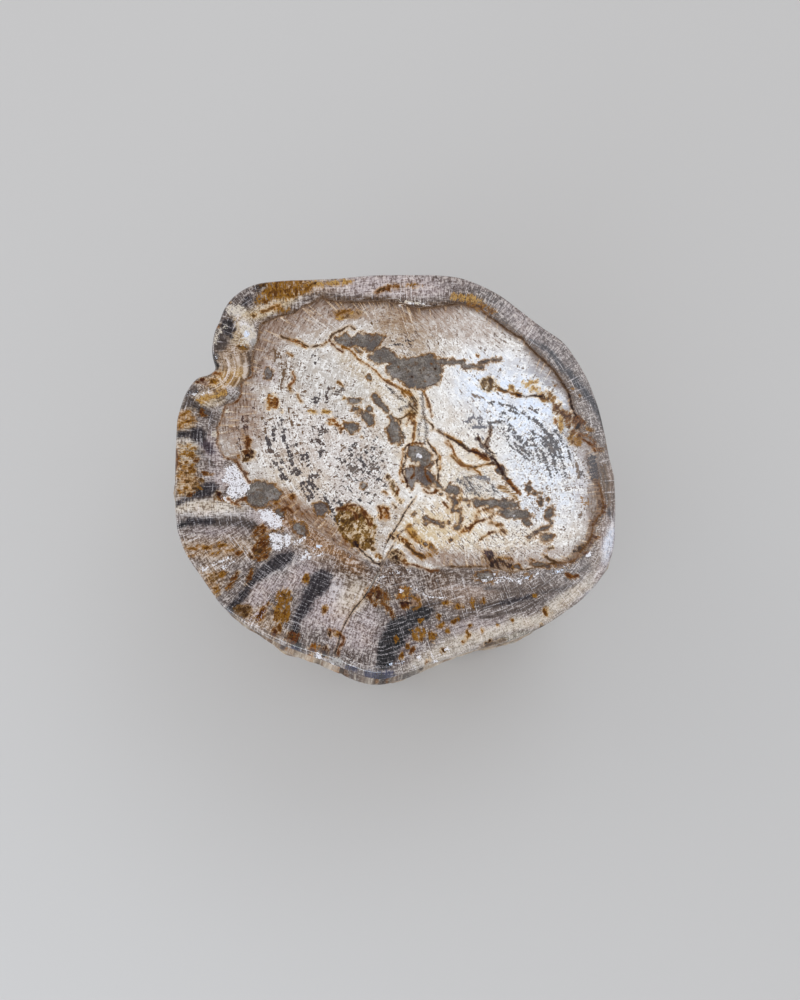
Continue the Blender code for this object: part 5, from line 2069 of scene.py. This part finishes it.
def side_material():
    n = Nodes("petrified_wood_natural")
    s = n.attr("side_px")["Vector"]
    recess = n.attr("recess")["Fac"]
    broad_ = n.attr("broad")["Fac"]
    below = n.attr("below")["Fac"]
    carried = n.attr("carried")["Color"]

    slow = n.noise(s, 1.0, 3.0, 0.55, 0.0, (1.7, 1.7, 0.55))
    band = n.noise(s, 1.0, 4.0, 0.60, 0.0, (9.0, 9.0, 1.3))
    patch = n.noise(s, 1.0, 4.0, 0.60, 0.0, (4.2, 4.2, 3.0))
    fibre = n.noise(s, 1.0, 3.0, 0.62, 0.0, (46.0, 46.0, 4.5))
    grit = n.noise(s, 62.0, 3.0, 0.65)
    crumb = n.noise(s, 19.0, 3.0, 0.6)

    ground = n.ramp(n.math("ADD", n.math("MULTIPLY", slow, 0.55),
                           n.math("MULTIPLY", band, 0.45)),
                    [(0.36, (70, 56, 48)), (0.44, (118, 94, 74)),
                     (0.50, (156, 130, 104)), (0.56, (186, 164, 136)),
                     (0.64, (212, 200, 182))])
    # what the rim shows runs on down the side
    run = n.step(n.math("MULTIPLY_ADD", patch, 130.0, below), 20.0, 170.0,
                 0.62, 0.12)
    ground = n.mix(run, ground, carried)
    # iron stain, mineral white and charcoal
    rust = n.step(n.noise(s, 1.0, 4.0, 0.62, 0.0, (5.5, 5.5, 2.0)),
                  0.53, 0.64, 0.0, 0.86)
    ground = n.mix(rust, ground,
                   n.ramp(crumb, [(0.35, (74, 46, 22)), (0.65, (158, 108, 50))]))
    dark = n.step(n.noise(s, 1.0, 4.0, 0.6, 0.0, (7.0, 7.0, 0.9)),
                  0.55, 0.64, 0.0, 0.80)
    ground = n.mix(dark, ground, rgb(52, 46, 48))
    white = n.step(patch, 0.60, 0.70, 0.0, 0.65)
    ground = n.mix(white, ground, rgb(216, 211, 204))
    # fibres and grains
    ground = n.mix(n.step(fibre, 0.50, 0.66, 0.0, 0.42), ground,
                   n.mix(1.0, ground, rgb(138, 122, 110), "MULTIPLY"))
    ground = n.mix(n.step(fibre, 0.48, 0.34, 0.0, 0.36), ground,
                   rgb(222, 212, 198))
    ground = n.mix(n.step(grit, 0.54, 0.68, 0.0, 0.40), ground,
                   n.mix(1.0, ground, rgb(120, 104, 94), "MULTIPLY"))
    ground = n.mix(n.step(grit, 0.44, 0.32, 0.0, 0.30), ground,
                   rgb(226, 220, 212))
    # painted shade: the hollows are darkened as shade would darken them, and the crests are painted paler
    deep = n.step(recess, -0.10, -1.1, 0.0, 0.74)
    deep = n.math("MULTIPLY", deep, n.step(crumb, 0.30, 0.60, 0.7, 1.0))
    ground = n.mix(deep, ground, rgb(50, 41, 36))
    crest = n.step(recess, 0.10, 0.75, 0.0, 0.34)
    ground = n.mix(crest, ground, rgb(214, 204, 190))
    # painted shade in the broad hollows of the relief as well
    low = n.step(broad_, -0.4, -2.2, 0.0, 0.40)
    ground = n.mix(low, ground,
                   n.mix(1.0, ground, rgb(120, 100, 86), "MULTIPLY"))

    n.put(n.bsdf.inputs["Base Color"], ground)
    rough = n.step(crumb, 0.3, 0.7, 0.52, 0.82)
    rough = n.grey_mix(deep, rough, 0.92)
    n.put(n.bsdf.inputs["Roughness"], rough)
    n.bsdf.inputs["IOR"].default_value = 1.50
    height = n.math("ADD", n.math("MULTIPLY", fibre, 0.9),
                    n.math("MULTIPLY", crumb, 1.3))
    height = n.math("ADD", height, n.math("MULTIPLY", grit, 0.5))
    n.put(n.bsdf.inputs["Normal"], n.bump(height, 0.75, 0.0011))
    return n.mat


# -------------------------------------------------------------------- stage
def area_light(name, place, target, size, power, colour):
    data = bpy.data.lights.new(name, "AREA")
    data.shape = "RECTANGLE"
    data.size, data.size_y = size
    data.energy = power
    data.color = colour
    obj = bpy.data.objects.new(name, data)
    obj.location = place
    way = Vector(target) - Vector(place)
    obj.rotation_euler = way.to_track_quat("-Z", "Y").to_euler()
    bpy.context.scene.collection.objects.link(obj)


def plain_material(name, tone, rough):
    mat = bpy.data.materials.new(name)
    mat.use_nodes = True
    bsdf = mat.node_tree.nodes["Principled BSDF"]
    bsdf.inputs["Base Color"].default_value = tone + (1.0,)
    bsdf.inputs["Roughness"].default_value = rough
    bsdf.inputs["Specular IOR Level"].default_value = 0.1
    return mat


def build_stage():
    mesh = bpy.data.meshes.new("floor")
    n = 96
    verts = [(9.0 * math.cos(2 * math.pi * k / n),
              9.0 * math.sin(2 * math.pi * k / n), 0.0) for k in range(n)]
    mesh.from_pydata(verts, [], [tuple(range(n))])
    floor = bpy.data.objects.new("floor", mesh)
    floor.location = (0.0, 0.0, -0.0004)
    mesh.materials.append(plain_material("floor_pale", (0.56, 0.552, 0.548), 0.9))
    bpy.context.scene.collection.objects.link(floor)

    world = bpy.data.worlds.new("studio")
    bpy.context.scene.world = world
    world.use_nodes = True
    back = world.node_tree.nodes["Background"]
    nodes = world.node_tree.nodes
    where = nodes.new("ShaderNodeTexCoord")
    split = nodes.new("ShaderNodeSeparateXYZ")
    sky = nodes.new("ShaderNodeValToRGB")
    links = world.node_tree.links
    links.new(where.outputs["Generated"], split.inputs["Vector"])
    links.new(split.outputs["Z"], sky.inputs["Fac"])
    links.new(sky.outputs["Color"], back.inputs["Color"])
    ramp = sky.color_ramp
    ramp.elements[0].position = 0.03
    ramp.elements[0].color = (0.405, 0.41, 0.414, 1.0)
    ramp.elements[1].position = 1.0
    ramp.elements[1].color = (0.46, 0.47, 0.49, 1.0)
    middle = ramp.elements.new(0.34)
    middle.color = (1.0, 1.0, 1.0, 1.0)
    back.inputs["Strength"].default_value = 1.28

    area_light("sheen_over_right", (0.34, 0.44, 1.75), (0.12, 0.02, 0.40),
               (0.55, 0.62), 3.0, (0.86, 0.93, 1.0))
    area_light("front_left", (-0.90, -1.50, 0.72), (-0.05, -0.10, 0.36),
               (1.9, 0.34), 9.0, (0.78, 0.89, 1.0))
    area_light("over_left", (-1.5, 0.5, 2.1), (0.0, 0.0, 0.3),
               (1.0, 1.0), 3.0, (1.0, 0.97, 0.93))

    cam = bpy.data.cameras.new("camera")
    cam.lens = 42.0
    cam.sensor_width = 36.0
    cam.clip_start = 0.02
    cam.clip_end = 60.0
    obj = bpy.data.objects.new("camera", cam)
    obj.location = (0.0 - ROW_OFFSET[0],
                    -VIEW_DISTANCE * math.cos(VIEW_ELEVATION) - ROW_OFFSET[1],
                    HEIGHT + VIEW_DISTANCE * math.sin(VIEW_ELEVATION))
    obj.rotation_euler = (math.pi / 2 - VIEW_ELEVATION, 0.0, 0.0)
    bpy.context.scene.collection.objects.link(obj)
    bpy.context.scene.camera = obj

    look = bpy.context.scene.view_settings
    look.view_transform = "Standard"
    look.look = "None"
    look.exposure = 0.0
    look.gamma = 1.0


stone = build_stone()
stone.data.materials.append(face_material())
stone.data.materials.append(side_material())
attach(stone, "root")
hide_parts("stump")
build_stage()
